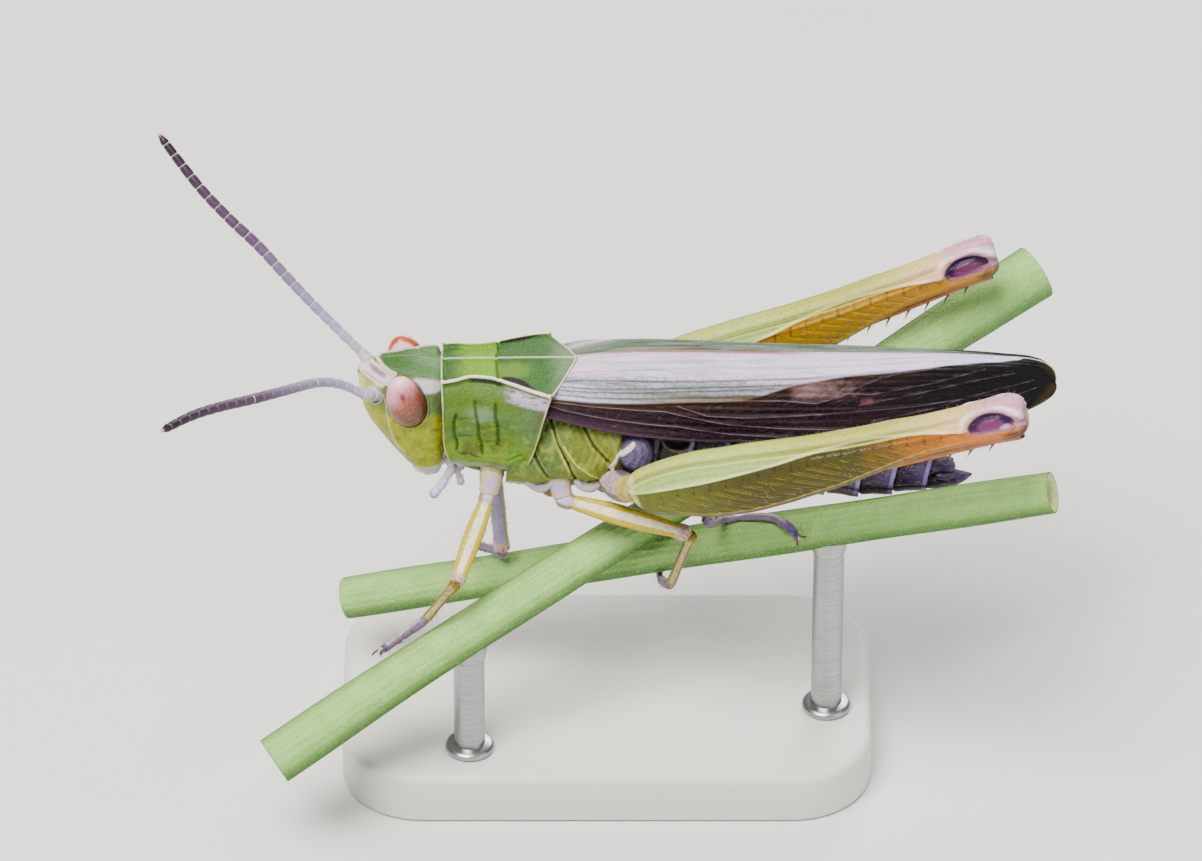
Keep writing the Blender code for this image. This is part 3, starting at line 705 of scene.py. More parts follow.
def head_paint():
    paint = Finish("head_shell", roughness=0.42)
    c = shades()
    height, x = paint.place("z"), paint.place("x")
    wobble = paint.noise(2.2, 3.0) - 0.5
    fine = paint.noise(26.0, 4.0)
    spots = paint.cells(15.0)
    side_green = paint.mix(0.35, paint.mix(0.35, c.leaf, c.side), (146, 148, 118))
    side_green = paint.dapple(side_green, 0.18, 5.0)
    cheek = paint.layers(
        c.cheek,
        (paint.noise(3.4, 5.0).rise(0.48, 0.68) * 0.65, c.side),
        (paint.noise(5.2, 4.0).rise(0.52, 0.70) * 0.5, (204, 204, 96)),
        (spots.rise(0.30, 0.12) * 0.35, (214, 214, 90)),
    )
    ground = paint.mix((height + wobble * 0.5).rise(-1.02, -1.38), side_green, cheek)
    crown = paint.field("crown").rise(0.2, 0.8)
    fovea = paint.field("fovea")
    fork = paint.mix(paint.noise(9.0, 3.0).rise(0.4, 0.6), (232, 214, 218), (214, 202, 222))
    crown_green = paint.dapple(paint.mix((x + wobble * 0.3).rise(-2.9, -1.9), c.leaf, (112, 146, 96)),
                               0.14, 9.0)
    ground = paint.mix(crown, ground, crown_green)
    temple = (paint.field("temple") + wobble * 0.10).rise(0.34, 0.22)
    pale_lilac = paint.mix(fine.rise(0.35, 0.65), (222, 214, 228), (206, 200, 198))
    face = paint.mix(0.5, c.cheek, (206, 204, 110))
    ground = paint.layers(
        ground,
        ((x + wobble * 0.2).rise(-3.22, -3.50) * height.rise(-0.30, -0.56), face),
        (paint.field("side").rise(0.34, 0.14) * x.rise(-3.0, -3.2) * height.rise(-0.34, -0.46) * 0.9,
         (222, 220, 150)),
        (temple * paint.field("depth").rise(1.02, 1.12) * (fine.rise(0.30, 0.60) * 0.30 + 0.68),
         pale_lilac),
        (fovea.rise(0.20, 0.16) * height.rise(-0.62, -0.5), fork),
        ((fovea + wobble * 0.04).rise(0.10, 0.04) * x.rise(-3.70, -3.50) * x.rise(-3.12, -3.26) * 0.75,
         (150, 118, 112)),
        (paint.field("front").rise(0.30, 0.16), c.lilac),
        (paint.field("pale").rise(0.070, 0.020) * 0.80, paint.mix(0.3, c.cream, c.rose)),
        (paint.field("dark").rise(0.035, 0.005) * 0.65, (70, 74, 16)),
        (paint.field("depth").rise(1.05, 1.0), c.plum),
        ((height + wobble * 0.3).rise(-2.92, -3.16), (196, 196, 190)),
    )
    return paint.coated(ground, (spots, 0.012), (fine, 0.008), (paint.noise(70.0, 3.0), 0.004),
                        rough=fine * 0.25 + 0.30, glow=(0.12, 0.25))


def mouth_paint():
    paint = Finish("mouth_parts", roughness=0.35)
    c = shades()
    fine = paint.noise(20.0, 4.0)
    pale = paint.dapple(paint.mix(0.5, c.lilac, c.cream), 0.14, 14.0)
    ground = paint.mix(paint.field("share").rise(0.72, 0.98), pale, (118, 84, 52))
    return paint.coated(ground, (fine, 0.010), glow=(0.15, 0.20))


# ---------------------------------------------------------------- eyes

def make_eyes():
    tilts = np.linspace(0.02, pi - 0.02, 90)
    turns = ring_turns(120)
    ball = np.stack([np.sin(tilts)[:, None] * np.cos(turns), np.sin(tilts)[:, None] * np.sin(turns),
                     np.cos(tilts)[:, None] + 0 * turns], -1)
    egg = 1 - 0.10 * np.cos(tilts)[:, None]
    x, y, z = ball[..., 0] * EYE_HALF[0] * egg, ball[..., 1] * EYE_HALF[1] * egg, ball[..., 2] * EYE_HALF[2]
    local = np.stack([x * cos(EYE_LEAN) - z * sin(EYE_LEAN), y, z * cos(EYE_LEAN) + x * sin(EYE_LEAN)], -1)
    paint = eye_paint()
    for name, side in SIDES:
        form = Form()
        form.grid((local + EYE_CENTRE) * (1, side, 1), high=ball[..., 2], out=ball[..., 1],
                  ahead=ball[..., 0])
        form.made(f"compound_eye_{name}", [f"eye_{name}"], "eye", paint)


def eye_paint():
    paint = Finish("compound_eye", roughness=0.30, Coat_Weight=0.28, Coat_Roughness=0.16)
    c = shades()
    high, out, ahead = paint.fields("high", "out", "ahead")
    wobble = paint.drift(5.0)
    facets = paint.cells(1 / (sizes().facet / MM))
    level = (high + wobble * 0.5) * 0.5 + 0.5
    # Brown below to pale pink above; the palest pink at the top is a painted highlight.
    colour = paint.node("ShaderNodeValToRGB", {"stops": (
        (0.08, (80, 38, 0)), (0.36, (122, 60, 6)), (0.62, c.eye),
        (0.80, (196, 128, 136)), (0.97, (242, 214, 224)))}, {0: level})
    speckle = paint.cells(15.0).rise(0.34, 0.10)
    pupil = (ahead.square(0.03) + high.square(0.43)).rise(0.030, 0.004)
    blotch = paint.noise(13.0, 4.0)
    colour = paint.layers(colour, (speckle * 0.35, (140, 76, 60)),
                          (blotch.rise(0.52, 0.66) * 0.22, (226, 176, 160)),
                          (facets.rise(0.2, 0.6) * 0.12, (240, 190, 170)),
                          (ahead.rise(0.05, 0.85) * high.rise(0.75, 0.15) * 0.60, (96, 38, 12)),
                          # painted highlight: pale pink over the upper rear of the eye
                          (ahead.rise(0.20, -0.75) * high.rise(-0.10, 0.50) * 0.50, (244, 206, 214)),
                          (pupil * 0.70, (104, 36, 50)),
                          (out.rise(0.10, -0.10) * high.rise(0.30, 0.70), (196, 112, 48)),
                          # painted highlight: a pale patch on the upper inner side, inside the orange rim
                          (out.rise(-0.34, -0.54) * high.rise(0.40, 0.65) * 0.85, (240, 214, 220)),
                          (out.rise(0.30, 0.12) * ahead.rise(-0.3, 0.3) * high.rise(0.7, 0.4),
                           (84, 34, 30)))
    return paint.coated(colour, (facets.rise(0.62, 0.10), 0.0035), glow=(0.10, 0.12))


# ---------------------------------------------------------------- feelers and palps

FEELERS = {
    "left": ((-3.36, -0.46, -0.80), (-3.56, -0.64, -0.70), (-3.74, -0.86, -0.56), (-4.35, -1.16, -0.02),
             (-4.96, -1.68, 0.41), (-5.81, -2.58, 0.79), (-6.64, -3.48, 1.16), (-7.49, -4.38, 1.55),
             (-8.16, -5.12, 1.80), (-8.90, -6.02, 1.97)),
    "right": ((-3.40, 0.46, -0.74), (-3.62, 0.60, -0.56), (-3.86, 0.78, -0.34), (-4.40, 1.02, 0.14),
              (-5.12, 1.41, 0.74), (-5.81, 1.83, 1.33), (-6.59, 2.33, 2.02), (-7.33, 2.74, 2.58),
              (-8.05, 3.18, 3.18), (-8.61, 3.59, 3.74), (-9.28, 4.11, 4.46)),
}
FEELER_JOINTS = 24


def make_feelers():
    paint = feeler_paint()
    for name, route in FEELERS.items():
        path, share = limb(route, 12, 24 * FEELER_JOINTS + 1)
        place = share * FEELER_JOINTS
        inside = place % 1.0
        girth = np.interp(share, (0, 0.035, 0.06, 0.10, 0.55, 0.85, 0.97, 1.0),
                          (0.19, 0.20, 0.155, 0.115, 0.135, 0.125, 0.105, 0.03))
        swell = 1 + 0.07 * np.sin(inside * pi) ** 0.6 - 0.20 * hump(np.minimum(inside, 1 - inside), 0.06)
        form = Form()
        form.tube(path, girth * swell, 20, joint=inside[:, None])
        _, side, top = directions(path)
        draw = random.Random(f"feeler {name}")
        for index in range(30, len(path) - 2, 2):
            turn = draw.uniform(0, 2 * pi)
            out = side[index] * cos(turn) + top[index] * sin(turn)
            root = path[index] + out * girth[index] * 0.92
            ahead = path[index + 1] - path[index - 1]
            tip = root + (out * 0.5 + unit(ahead) * 0.8) * draw.uniform(0.05, 0.09)
            form.thorn(root, tip, 0.005, 3, steps=2, joint=0.5)
        form.made(f"feeler_{name}", [f"antenna_{name}"], "feeler", paint)


def feeler_paint():
    paint = Finish("feeler", roughness=0.40)
    share, joint = paint.fields("share", "joint")
    wobble = paint.drift(9.0)
    body = paint.node("ShaderNodeValToRGB", {"stops": (
        (0.0, (214, 208, 214)), (0.10, (190, 184, 204)), (0.30, (164, 154, 178)),
        (0.55, (118, 98, 122)), (0.95, (74, 46, 66)))}, {0: share + wobble * 0.10})
    ring = abs(joint - 0.5).rise(0.44, 0.485)
    body = paint.layers(body, (paint.noise(30.0, 3.0).rise(0.5, 0.7) * 0.35, (60, 34, 50)),
                        (ring * share.rise(0.04, 0.10) * 0.9, (232, 226, 232)),
                        (share.rise(0.985, 1.0), (220, 190, 170)))
    return paint.coated(body, (paint.noise(40.0, 3.0), 0.006), glow=(0.15, 0.12))


PALP = ((-1.62, 0.40, -2.96), (-1.45, 0.52, -3.18), (-1.58, 0.57, -3.50), (-1.78, 0.58, -3.84),
        (-2.00, 0.56, -4.16))
LIP_PALP = ((-1.60, 0.20, -3.12), (-1.36, 0.30, -3.38), (-1.24, 0.34, -3.66), (-1.20, 0.34, -3.92))
PALP_LENGTHS = (0.22, 0.48, 0.76, 1.0)


def jointed_radii(share, joints, radii, waist=0.72, soft=0.035):
    """Radii along a jointed limb: drawn in at each joint and round at its tip."""
    girth = np.interp(share, np.linspace(0, 1, len(radii)), radii)
    near = np.min([np.abs(share - joint) for joint in joints if joint < 1] or [share + 1], axis=0)
    girth = girth * (1 - (1 - waist) * hump(near, soft))
    return girth * np.sqrt(np.clip((1.0005 - share) / 0.07, 0, 1)) ** 0.8


def make_palps():
    paint = palp_paint()
    for name, side in SIDES:
        form = Form()
        for route, radii, joints in ((PALP, (0.10, 0.12, 0.12, 0.13, 0.14), PALP_LENGTHS),
                                     (LIP_PALP, (0.08, 0.09, 0.10, 0.11), (0.3, 0.62))):
            path, share = limb(np.array(route) * (1, side, 1), 10, 90)
            form.tube(path, jointed_radii(share, joints, radii), 20)
        form.made(f"mouth_palp_{name}", [f"palp_{name}"], "feeler", paint)


def palp_paint():
    paint = Finish("palp", roughness=0.34)
    c = shades()
    colour = paint.node("ShaderNodeValToRGB", {"stops": (
        (0.0, (176, 168, 150)), (0.35, (206, 200, 214)), (0.80, (222, 216, 236)),
        (0.97, (136, 136, 204)))}, {0: paint.field("share") + (paint.noise(8.0) - 0.5) * 0.2})
    colour = paint.mix(paint.noise(18.0, 4.0).rise(0.55, 0.7) * 0.3, colour, c.mauve)
    return paint.coated(colour, (paint.noise(34.0, 3.0), 0.006), glow=(0.25, 0.20))


# ---------------------------------------------------------------- neck shield

SHIELD_FRONT_X = -1.70
SHIELD_APEX_X = 1.90
SHIELD_SHOULDER_X = 1.21
SHIELD_SHOULDER_Y = 1.46
SHIELD_FLOOR = -2.78
# place along, keel half distance, keel height, flank half width
SHIELD_ROWS = (
    (0.0, 0.89, -0.16, 1.16), (0.12, 0.84, -0.12, 1.22), (0.25, 0.74, -0.07, 1.28),
    (0.40, 0.80, -0.07, 1.32), (0.58, 1.02, -0.10, 1.38), (0.80, 1.28, -0.16, 1.48),
    (1.0, 1.46, -0.22, 1.55),
)
FLANK_MARGIN = ((0.0, 1.28), (0.30, 1.21), (1.0, 1.02), (2.0, 0.76), (2.8, 0.46), (3.0, 0.40))
# Lines on the flank: places along and heights
SHIELD_GROOVES = (((-1.30, -1.00), (-1.36, -1.24), (-1.34, -1.62), (-1.27, -1.90), (-1.30, -2.14)),
                  ((-0.80, -0.60), (-0.77, -0.92), (-0.70, -1.30), (-0.69, -1.62), (-0.62, -1.90),
                   (-0.60, -2.22)),
                  ((-0.24, -0.62), (-0.25, -0.90), (-0.20, -1.24), (-0.17, -1.66), (-0.20, -1.84)))
SHIELD_WRINKLES = (((-0.62, -1.32), (-0.16, -1.26)), ((-0.60, -1.78), (-0.12, -1.70)),
                   ((-1.32, -1.10), (-0.74, -1.02)), ((-1.30, -2.20), (-0.60, -2.34)),
                   ((-1.20, -1.62), (-0.72, -1.56)), ((0.10, -2.30), (0.44, -2.10)))
MAIN_FURROW_X = -0.21


def shield_profile(share, steps):
    """Right half of the shield's outline, from its top keel to its lower margin."""
    keel_y, keel_z, flank = spline(SHIELD_ROWS, share)[0]
    corner = ((0.0, 0.0, 0.05 * (share - 0.4)), (0.0, keel_y * 0.35, keel_z * 0.25 - 0.02),
              (0.0, keel_y * 0.75, keel_z * 0.85 - 0.03), (0.0, keel_y, keel_z),
              (0.0, keel_y + (flank - keel_y) * 0.50, keel_z - 0.30), (0.0, flank, -1.0),
              (0.0, flank + 0.02, -1.6), (0.0, flank, -2.15), (0.0, flank - 0.10, -2.56),
              (0.0, flank - 0.30, SHIELD_FLOOR))
    return curve(corner, steps)[:, 1:]


def shield_margin(across, height):
    """Rear margin: an obtuse angle on the disc, a slant down and forward on the flank."""
    share = np.minimum(across / SHIELD_SHOULDER_Y, 1.0)
    top = SHIELD_APEX_X + (SHIELD_SHOULDER_X - SHIELD_APEX_X) * share ** 1.15
    flank = spline(FLANK_MARGIN, -height.ravel())[:, 0].reshape(height.shape)
    return top + (flank - top) * ease(-height, 0.22, 0.40)


def make_shield():
    rows, steps = 200, 15
    shares = np.linspace(0, 1, rows)
    half = np.stack([shield_profile(share, steps) for share in shares])
    y = np.concatenate([-half[:, :0:-1, 0], half[..., 0]], 1)
    z = np.concatenate([half[:, :0:-1, 1], half[..., 1]], 1)
    front = SHIELD_FRONT_X + 0.05 * np.sin(pi * np.clip(-z / 2.8, 0, 1)) + 0.24 * ease(-z, 1.6, 2.9) ** 1.5
    x = front + (shield_margin(np.abs(y), z) - front) * shares[:, None]
    rings = np.stack([x, y, z], -1)
    run = row_lengths(half)
    keel_run = run[:, 3 * steps:3 * steps + 1]
    run = np.concatenate([run[:, :0:-1], run], 1)
    keel = run - keel_run
    side = rings[..., [0, 2]]
    on_flank = ease(keel, 0.02, 0.10)
    groove = off_all(side, SHIELD_GROOVES) + FAR * (on_flank < 0.3)
    furrow = np.abs(x - MAIN_FURROW_X + 0.03 * np.cos(run * 3)) + FAR * (keel > 0.05)
    wrinkle = off_all(side, SHIELD_WRINKLES) + FAR * (on_flank < 0.3)
    hind_edge = (1 - shares)[:, None] * (x[-1:] - x[:1])
    fore_edge = shares[:, None] * (x[-1:] - x[:1])
    low_edge = run[:, -1:] - run
    rim = np.minimum.reduce([hind_edge, fore_edge, low_edge])
    draw = np.random.default_rng(7)
    rough = np.zeros_like(x)
    for _ in range(110):                         # shallow uneven swellings of the flank
        spot = (draw.uniform(-1.5, 1.0), draw.uniform(-2.5, -0.5))
        reach = draw.uniform(0.07, 0.24)
        rough += draw.uniform(-0.028, 0.028) * hump(np.hypot(x - spot[0], z - spot[1]), reach)
    rise = sizes().keel_rise / MM
    height = (rise * hump(run, 0.038) + rise * 1.5 * hump(keel, 0.045)
              - 0.05 * hump(keel - 0.16, 0.09) - 0.05 * hump(keel + 0.16, 0.10)
              - 0.055 * hump(groove, 0.035) - 0.045 * hump(furrow, 0.030) - 0.040 * hump(wrinkle, 0.040)
              + 0.03 * hump(groove - 0.13, 0.10) + 0.035 * hump(rim, 0.04) - 0.02 * hump(rim - 0.12, 0.05)
              + rough * on_flank)
    form = Form()
    form.sheet(raised(rings, height, False), 0.07, run=run, keel=keel,
               groove=np.minimum(groove, wrinkle + 0.018), furrow=furrow, rim=rim)
    form.made("neck_shield", ["pronotum"], "shield", shield_paint())


def shield_paint():
    paint = Finish("neck_shield", roughness=0.42)
    c = shades()
    x, z = paint.place("x"), paint.place("z")
    keel, run = paint.fields("keel", "run")
    wobble = paint.drift(2.6)
    fine, pits = paint.noise(24.0, 5.0), paint.cells(17.0)
    ahead = (x + wobble * 0.12).rise(MAIN_FURROW_X - 0.03, MAIN_FURROW_X + 0.03)
    fore_disc = paint.mix((x + wobble * 0.6).rise(-1.45, -0.9), c.leaf, c.lime)
    hind_disc = paint.mix((x + wobble * 0.5).rise(1.0, 1.8), c.leaf, (150, 168, 140))
    sheen = x.square(0.15) * 1.1 + paint.place("y").square(-0.42) * 3.4 + wobble * 0.8
    hind_disc = paint.mix(sheen.rise(0.55, 0.05) * 0.60, paint.mix(0.30, hind_disc, (74, 122, 62)),
                          (132, 164, 40))
    disc = paint.mix(ahead, fore_disc, hind_disc)
    high_flank = paint.mix((x + wobble * 0.5).rise(0.0, 0.9), c.side, (116, 140, 92))
    low_flank = paint.mix(paint.noise(2.0, 4.0).rise(0.40, 0.62), c.lime, (120, 128, 22))
    flank = paint.mix((z + wobble * 0.6).rise(-1.3, -2.2), high_flank, low_flank)
    cloud, blot = paint.noise(1.5, 4.0), paint.noise(4.4, 4.0)
    flank = paint.layers(
        flank,
        (cloud.rise(0.46, 0.62) * z.rise(-2.3, -1.2) * 0.55, (104, 140, 92)),
        (blot.rise(0.52, 0.66) * z.rise(-0.9, -1.5) * 0.50, (170, 176, 62)),
        (blot.rise(0.46, 0.34) * 0.35, (86, 104, 30)),
    )
    ground = paint.mix(keel.rise(-0.02, 0.06), disc, flank)
    ground = paint.dapple(ground, 0.13, 8.0)
    below = keel.band(0.05, 0.30, 0.05)
    # painted highlight: a soft pale blue-green patch on the front of the flank
    bloom_and_sheen = x.square(-0.62) * 0.9 + z.square(-0.92) * 3.0 + wobble * 0.16
    streak = paint.noise(1.0, 4.0, paint.stretched(5.0, 5.0, 16.0))
    behind = (x + wobble * 0.1).rise(-0.12, 0.30) * keel.band(0.10, 0.48, 0.06)
    far = paint.place("y").rise(-0.1, 0.1)
    depth = (x.square(0.34) * -0.62 + 0.30) * (1 - far * 0.72)   # a lens above the lateral keel
    wedge = ((keel + 0.03 + depth).rise(-0.035, 0.035) * (keel + 0.03).rise(0.012, -0.012)
             * depth.rise(0.0, 0.04))
    # painted shadow: under darkens the flank just below the lateral keel over the middle of the shield, and
    # leading does the same more weakly at the front
    under = x.band(-0.95, -0.05, 0.10) * keel.band(0.045, 0.15, 0.03)
    leading = x.band(-1.66, -1.0, 0.15) * keel.band(0.045, 0.10, 0.03)
    ground = paint.layers(
        ground,
        (bloom_and_sheen.rise(0.26, 0.0) * (fine * 0.3 + 0.12), (168, 190, 176)),
        (behind * streak.rise(0.30, 0.55) * 0.95, paint.mix(0.5, c.lilac, (190, 168, 184))),
        (x.rise(0.55, 1.15) * keel.band(0.45, 1.0, 0.14) * 0.55, (122, 96, 62)),
        (below * x.band(-1.5, -0.9, 0.2) * 0.35, c.leaf),
        # under and leading: painted shadow below the lateral keel
        (wedge, (22, 16, 12)), (under * 0.9, (34, 44, 30)), (leading * 0.35, (60, 84, 40)),
        # painted shade darkens the grooves, the wrinkles and the main furrow of the flank
        (paint.field("groove").rise(0.080, 0.0) * 0.52, (66, 82, 22)),
        (paint.field("furrow").rise(0.032, 0.006) * 0.70, (58, 92, 40)),
        (z.rise(-2.50, -2.70) * 0.7, (178, 174, 190)),
        (run.rise(0.042, 0.012) * (fine * 0.5 + 0.50), paint.mix(0.30, c.cream, c.leaf)),
        (abs(keel).rise(0.050, 0.024), c.cream),
        (paint.field("rim").rise(0.040, 0.012) * (fine * 0.5 + 0.50),
         paint.mix((z + wobble).rise(-0.4, -1.0), c.cream, (206, 196, 150))),
        (x.band(1.14, 1.30, 0.06) * z.band(-0.62, -0.30, 0.1) * (1 - far) * 0.5, (156, 116, 84)),
    )
    return paint.coated(ground, (pits, 0.016), (fine, 0.010), (paint.noise(60.0, 3.0), 0.005),
                        rough=fine * 0.25 + 0.32, glow=(0.10, 0.25))


# ---------------------------------------------------------------- thorax

THORAX_REAR_X = 3.98
# half outline (across, height), and where each of its points begins along the body
THORAX_OUTLINE = ((0.0, -0.64), (0.50, -0.66), (0.84, -0.84), (1.02, -1.30), (1.42, -1.84),
                  (1.57, -2.30), (1.52, -2.74), (1.22, -3.16), (0.82, -3.50), (0.34, -3.66),
                  (0.0, -3.66))
THORAX_FRONT_X = (1.3, 1.2, 1.0, 0.7, 0.45, 0.25, 0.10, 0.0, 0.0, 0.0, 0.0)
SUTURES = (((0.62, -1.70), (0.80, -2.15), (1.16, -2.86)),
           ((1.18, -1.20), (1.40, -1.80), (1.68, -2.32), (1.90, -3.06)),
           ((2.02, -1.30), (2.36, -1.86), (2.86, -2.42)),
           ((2.86, -2.42), (2.62, -3.02), (2.26, -3.30)),
           ((1.16, -2.86), (1.90, -3.06)), ((1.90, -3.06), (2.30, -3.40)))
PLEURAL_RIDGES = (((1.56, -1.86), (1.90, -2.34), (2.36, -2.70), (2.70, -2.98)),
                  ((1.26, -1.52), (1.52, -2.10), (1.74, -2.62)))
COXAL_RIDGE = ((3.40, -1.84), (3.04, -2.10), (2.84, -2.46), (2.92, -2.82), (2.62, -3.02),
               (2.28, -3.26), (2.34, -3.54))
COXAL_LOBE = (3.50, -2.14)
# route, half thickness, and whether the fold is violet or the brown of the soft skin
COXAL_FOLDS = (
    (((0.52, 1.26, -3.04), (0.78, 1.22, -3.34), (1.06, 1.30, -3.30), (1.30, 1.42, -3.06)), 0.13, True),
    (((0.70, 1.05, -3.20), (1.20, 1.10, -3.46), (1.66, 1.16, -3.36)), 0.22, False),
    (((1.84, 1.34, -3.02), (2.10, 1.40, -3.24), (2.40, 1.38, -3.22), (2.62, 1.44, -3.00)), 0.12, True),
    (((2.30, 1.20, -3.08), (2.60, 1.30, -3.22), (2.86, 1.44, -2.98)), 0.20, False),
)


def make_thorax():
    rows, steps = 170, 14
    outline = curve([(0, across, height) for across, height in THORAX_OUTLINE], steps)[:, 1:]
    fronts = spline(list(zip(range(len(THORAX_FRONT_X)), THORAX_FRONT_X)),
                    np.linspace(0, len(THORAX_FRONT_X) - 1, len(outline)))[:, 0]
    outline = np.vstack([outline, outline[-2:0:-1] * (-1, 1)])
    fronts = np.concatenate([fronts, fronts[-2:0:-1]])
    shares = np.linspace(0, 1, rows)[:, None]
    waist = 1 - 0.10 * shares ** 2 - 0.14 * ease(0.45 - shares * 3.9, -0.45, 0.45)
    x = fronts + (THORAX_REAR_X - fronts) * shares
    rings = np.stack([x, outline[:, 0] * waist, outline[:, 1] + 0 * x], -1)
    side = rings[..., [0, 2]]
    flank = ease(np.abs(rings[..., 1]), 0.55, 0.95)
    suture = off_all(side, SUTURES)
    ridge = off_all(side, PLEURAL_RIDGES)
    coxal = off(side, COXAL_RIDGE)
    lobe = np.hypot((side[..., 0] - COXAL_LOBE[0]) / 0.40, (side[..., 1] - COXAL_LOBE[1]) / 0.50)
    hollow = ease(side[..., 0], 2.6, 3.1) * ease(-side[..., 1], 2.35, 2.75)
    height = flank * (0.10 * (1 - np.exp(-suture / 0.22)) - 0.04 * hump(suture, 0.030)
                      + 0.055 * hump(ridge, 0.06) + 0.10 * hump(coxal, 0.07)
                      + 0.24 * (1 - ease(lobe, 0.3, 1.15)) - 0.08 * hump(lobe - 1.12, 0.14)
                      - 0.12 * hollow
                      + 0.012 * np.sin(side[..., 0] * 31 + 3 * np.sin(side[..., 1] * 7)))
    far_off = FAR * (flank < 0.4)
    form = Form()
    form.grid(raised(rings, height), suture=suture + far_off, ridge=ridge + far_off,
              coxal=coxal + far_off, lobe=lobe + far_off, deep=flank * hollow)
    for fold, girth, violet in COXAL_FOLDS:       # soft folds round the roots of the near and far legs
        for across in (-1, 1):
            path, _ = limb(np.array(fold) * (1, across, 1), 12, 40)
            swell = round_ends(np.linspace(-1, 1, 40), 2.6) * (1 + 0.14 * np.sin(np.linspace(0, 14, 40)))
            form.tube(path, girth * swell, 22, suture=FAR, ridge=FAR, coxal=0.058 if violet else FAR,
                      lobe=0.5 if violet else FAR, deep=0.0 if violet else 0.9)
    form.made("thorax_plates", ["thorax"], "thorax_plates", thorax_paint())
    breast = Form()
    throat = curve([(-1.62, 0, -2.60), (-1.05, 0, -2.92), (-0.45, 0, -3.06), (0.10, 0, -3.06),
                    (0.60, 0, -2.94)], 12)
    share = np.linspace(0, 1, len(throat))
    breast.tube(throat, 0.40 * np.sqrt(1 - np.abs(2 * share - 1) ** 3), 40, flat=1.9,
                suture=FAR, ridge=FAR, coxal=FAR, lobe=FAR, deep=0.0)
    breast.made("breast_plate", ["prosternum"], "thorax_plates", thorax_paint("breast_plate"))


def thorax_paint(name="thorax_plates"):
    paint = Finish(name, roughness=0.44)
    c = shades()
    x, z = paint.place("x"), paint.place("z")
    wobble = paint.drift(2.4)
    fine, pits = paint.noise(24.0, 5.0), paint.cells(14.0)
    suture, coxal, lobe = paint.fields("suture", "coxal", "lobe")
    plate = paint.layers(
        (106, 132, 72),
        ((x + wobble * 0.9).rise(0.9, 2.6), (140, 146, 50)),
        (paint.noise(1.9, 5.0).rise(0.46, 0.64) * 0.7, (164, 172, 98)),
        ((z + wobble * 0.5).rise(-2.3, -3.0) * 0.6, (150, 158, 34)),
    )
    plate = paint.dapple(plate, 0.14, 9.0)
    under = paint.mix(fine.rise(0.4, 0.6), (188, 176, 150), c.lilac)
    ground = paint.layers(
        plate,
        (suture.near(0.08, 0.04) * 0.30, (196, 198, 118)),
        (paint.field("ridge").rise(0.038, 0.010) * 0.80, (206, 208, 116)),
        (suture.rise(0.040, 0.008) * 0.9, (46, 52, 16)),
        ((z + wobble * 0.25).rise(-3.14, -3.30), under),
        (paint.field("deep").rise(0.25, 0.70), paint.mix(fine.rise(0.4, 0.6), (180, 160, 110),
                                                         (120, 98, 80))),
        (x.rise(3.02, 3.16) * z.rise(-1.30, -1.50), (58, 44, 60)),
        (lobe.rise(1.12, 0.98), paint.mix(fine.rise(0.35, 0.65), (112, 98, 130), (142, 132, 158))),
        # painted shade: near black over the top of the plates, which lies under the neck shield and the
        # wings
        (z.rise(-1.30, -1.05) * 0.9, (26, 16, 22)),
        (coxal.rise(0.080, 0.035), (222, 216, 212)),
    )
    return paint.coated(ground, (pits, 0.018), (fine, 0.012), (paint.noise(60.0, 3.0), 0.005),
                        rough=fine * 0.25 + 0.32, glow=(0.10, 0.25))


# ---------------------------------------------------------------- abdomen

ABDOMEN_FRONT = np.array((4.20, 0.0, -2.15))
ABDOMEN_REAR = np.array((11.40, 0.0, -3.68))
RINGS = 8
# share of the length, sag of the middle line, half width, half height
ABDOMEN_ROWS = ((-0.08, -0.02, 0.98, 1.34), (0.0, 0.0, 1.00, 1.36), (0.3, 0.20, 0.98, 1.16),
                (0.7, 0.34, 0.78, 0.80), (0.9, 0.14, 0.62, 0.62), (1.0, 0.0, 0.50, 0.50))


def make_abdomen():
    shares = np.linspace(-0.08, 1.0, 380)
    sag, width, tall = (column[:, None] for column in spline(ABDOMEN_ROWS, shares).T)
    turns = ring_turns(128)
    middle = ABDOMEN_FRONT + (ABDOMEN_REAR - ABDOMEN_FRONT) * shares[:, None]
    middle = middle - sag * UP
    place = shares[:, None] * RINGS + 0.10 * np.cos(turns) ** 2
    part = place % 1.0
    lap = 0.072 * part ** 1.6 - 0.05 * hump(part - 0.03, 0.05) - 0.02 * hump(part - 0.45, 0.25)
    seam = np.abs(np.sin(turns) + 0.34)[None]
    pleat = hump(seam, 0.10)
    spiracle = np.hypot((part - 0.25) * 0.9, (np.sin(turns)[None] + 0.12) * 1.1)
    ear = np.hypot((place - 0.45) / 0.42, (np.sin(turns)[None] - 0.24) / 0.30)
    swell = (lap * (1 - 0.6 * pleat) - 0.07 * pleat - 0.03 * hump(spiracle, 0.05)
             - 0.10 * (1 - ease(ear, 0.7, 1.0)) + 0.05 * hump(ear - 1.06, 0.10)
             + 0.008 * np.sin(turns * 22)[None] * (1 - part))
    rings = np.stack([middle[:, :1] + 0.16 * np.sin(turns) * tall, np.cos(turns) * width * 0.95,
                      middle[:, 2:] + np.sin(turns) * tall * 0.95], -1)
    form = Form()
    grown = raised(rings, swell)
    form.grid(grown, part=part, seam=seam, high=np.sin(turns)[None],
              share=shares[:, None], ear=ear, spiracle=spiracle)
    draw = random.Random("belly hairs")
    for _ in range(520):
        row, column = draw.randrange(20, 372), draw.randrange(128)
        root = grown[row, column]
        out = unit(root - grown[row].mean(0))
        tip = root + (out * 0.7 + np.array((0.9, 0, -0.1))) * draw.uniform(0.06, 0.13)
        form.thorn(root, tip, 0.006, 3, steps=2, coat=1, part=0.5, seam=1.0, high=0.0, ear=FAR,
                   spiracle=FAR)
    form.made("abdomen_rings", ["abdomen"], "abdomen_rings", abdomen_paint(), hair_paint())
    make_tail()


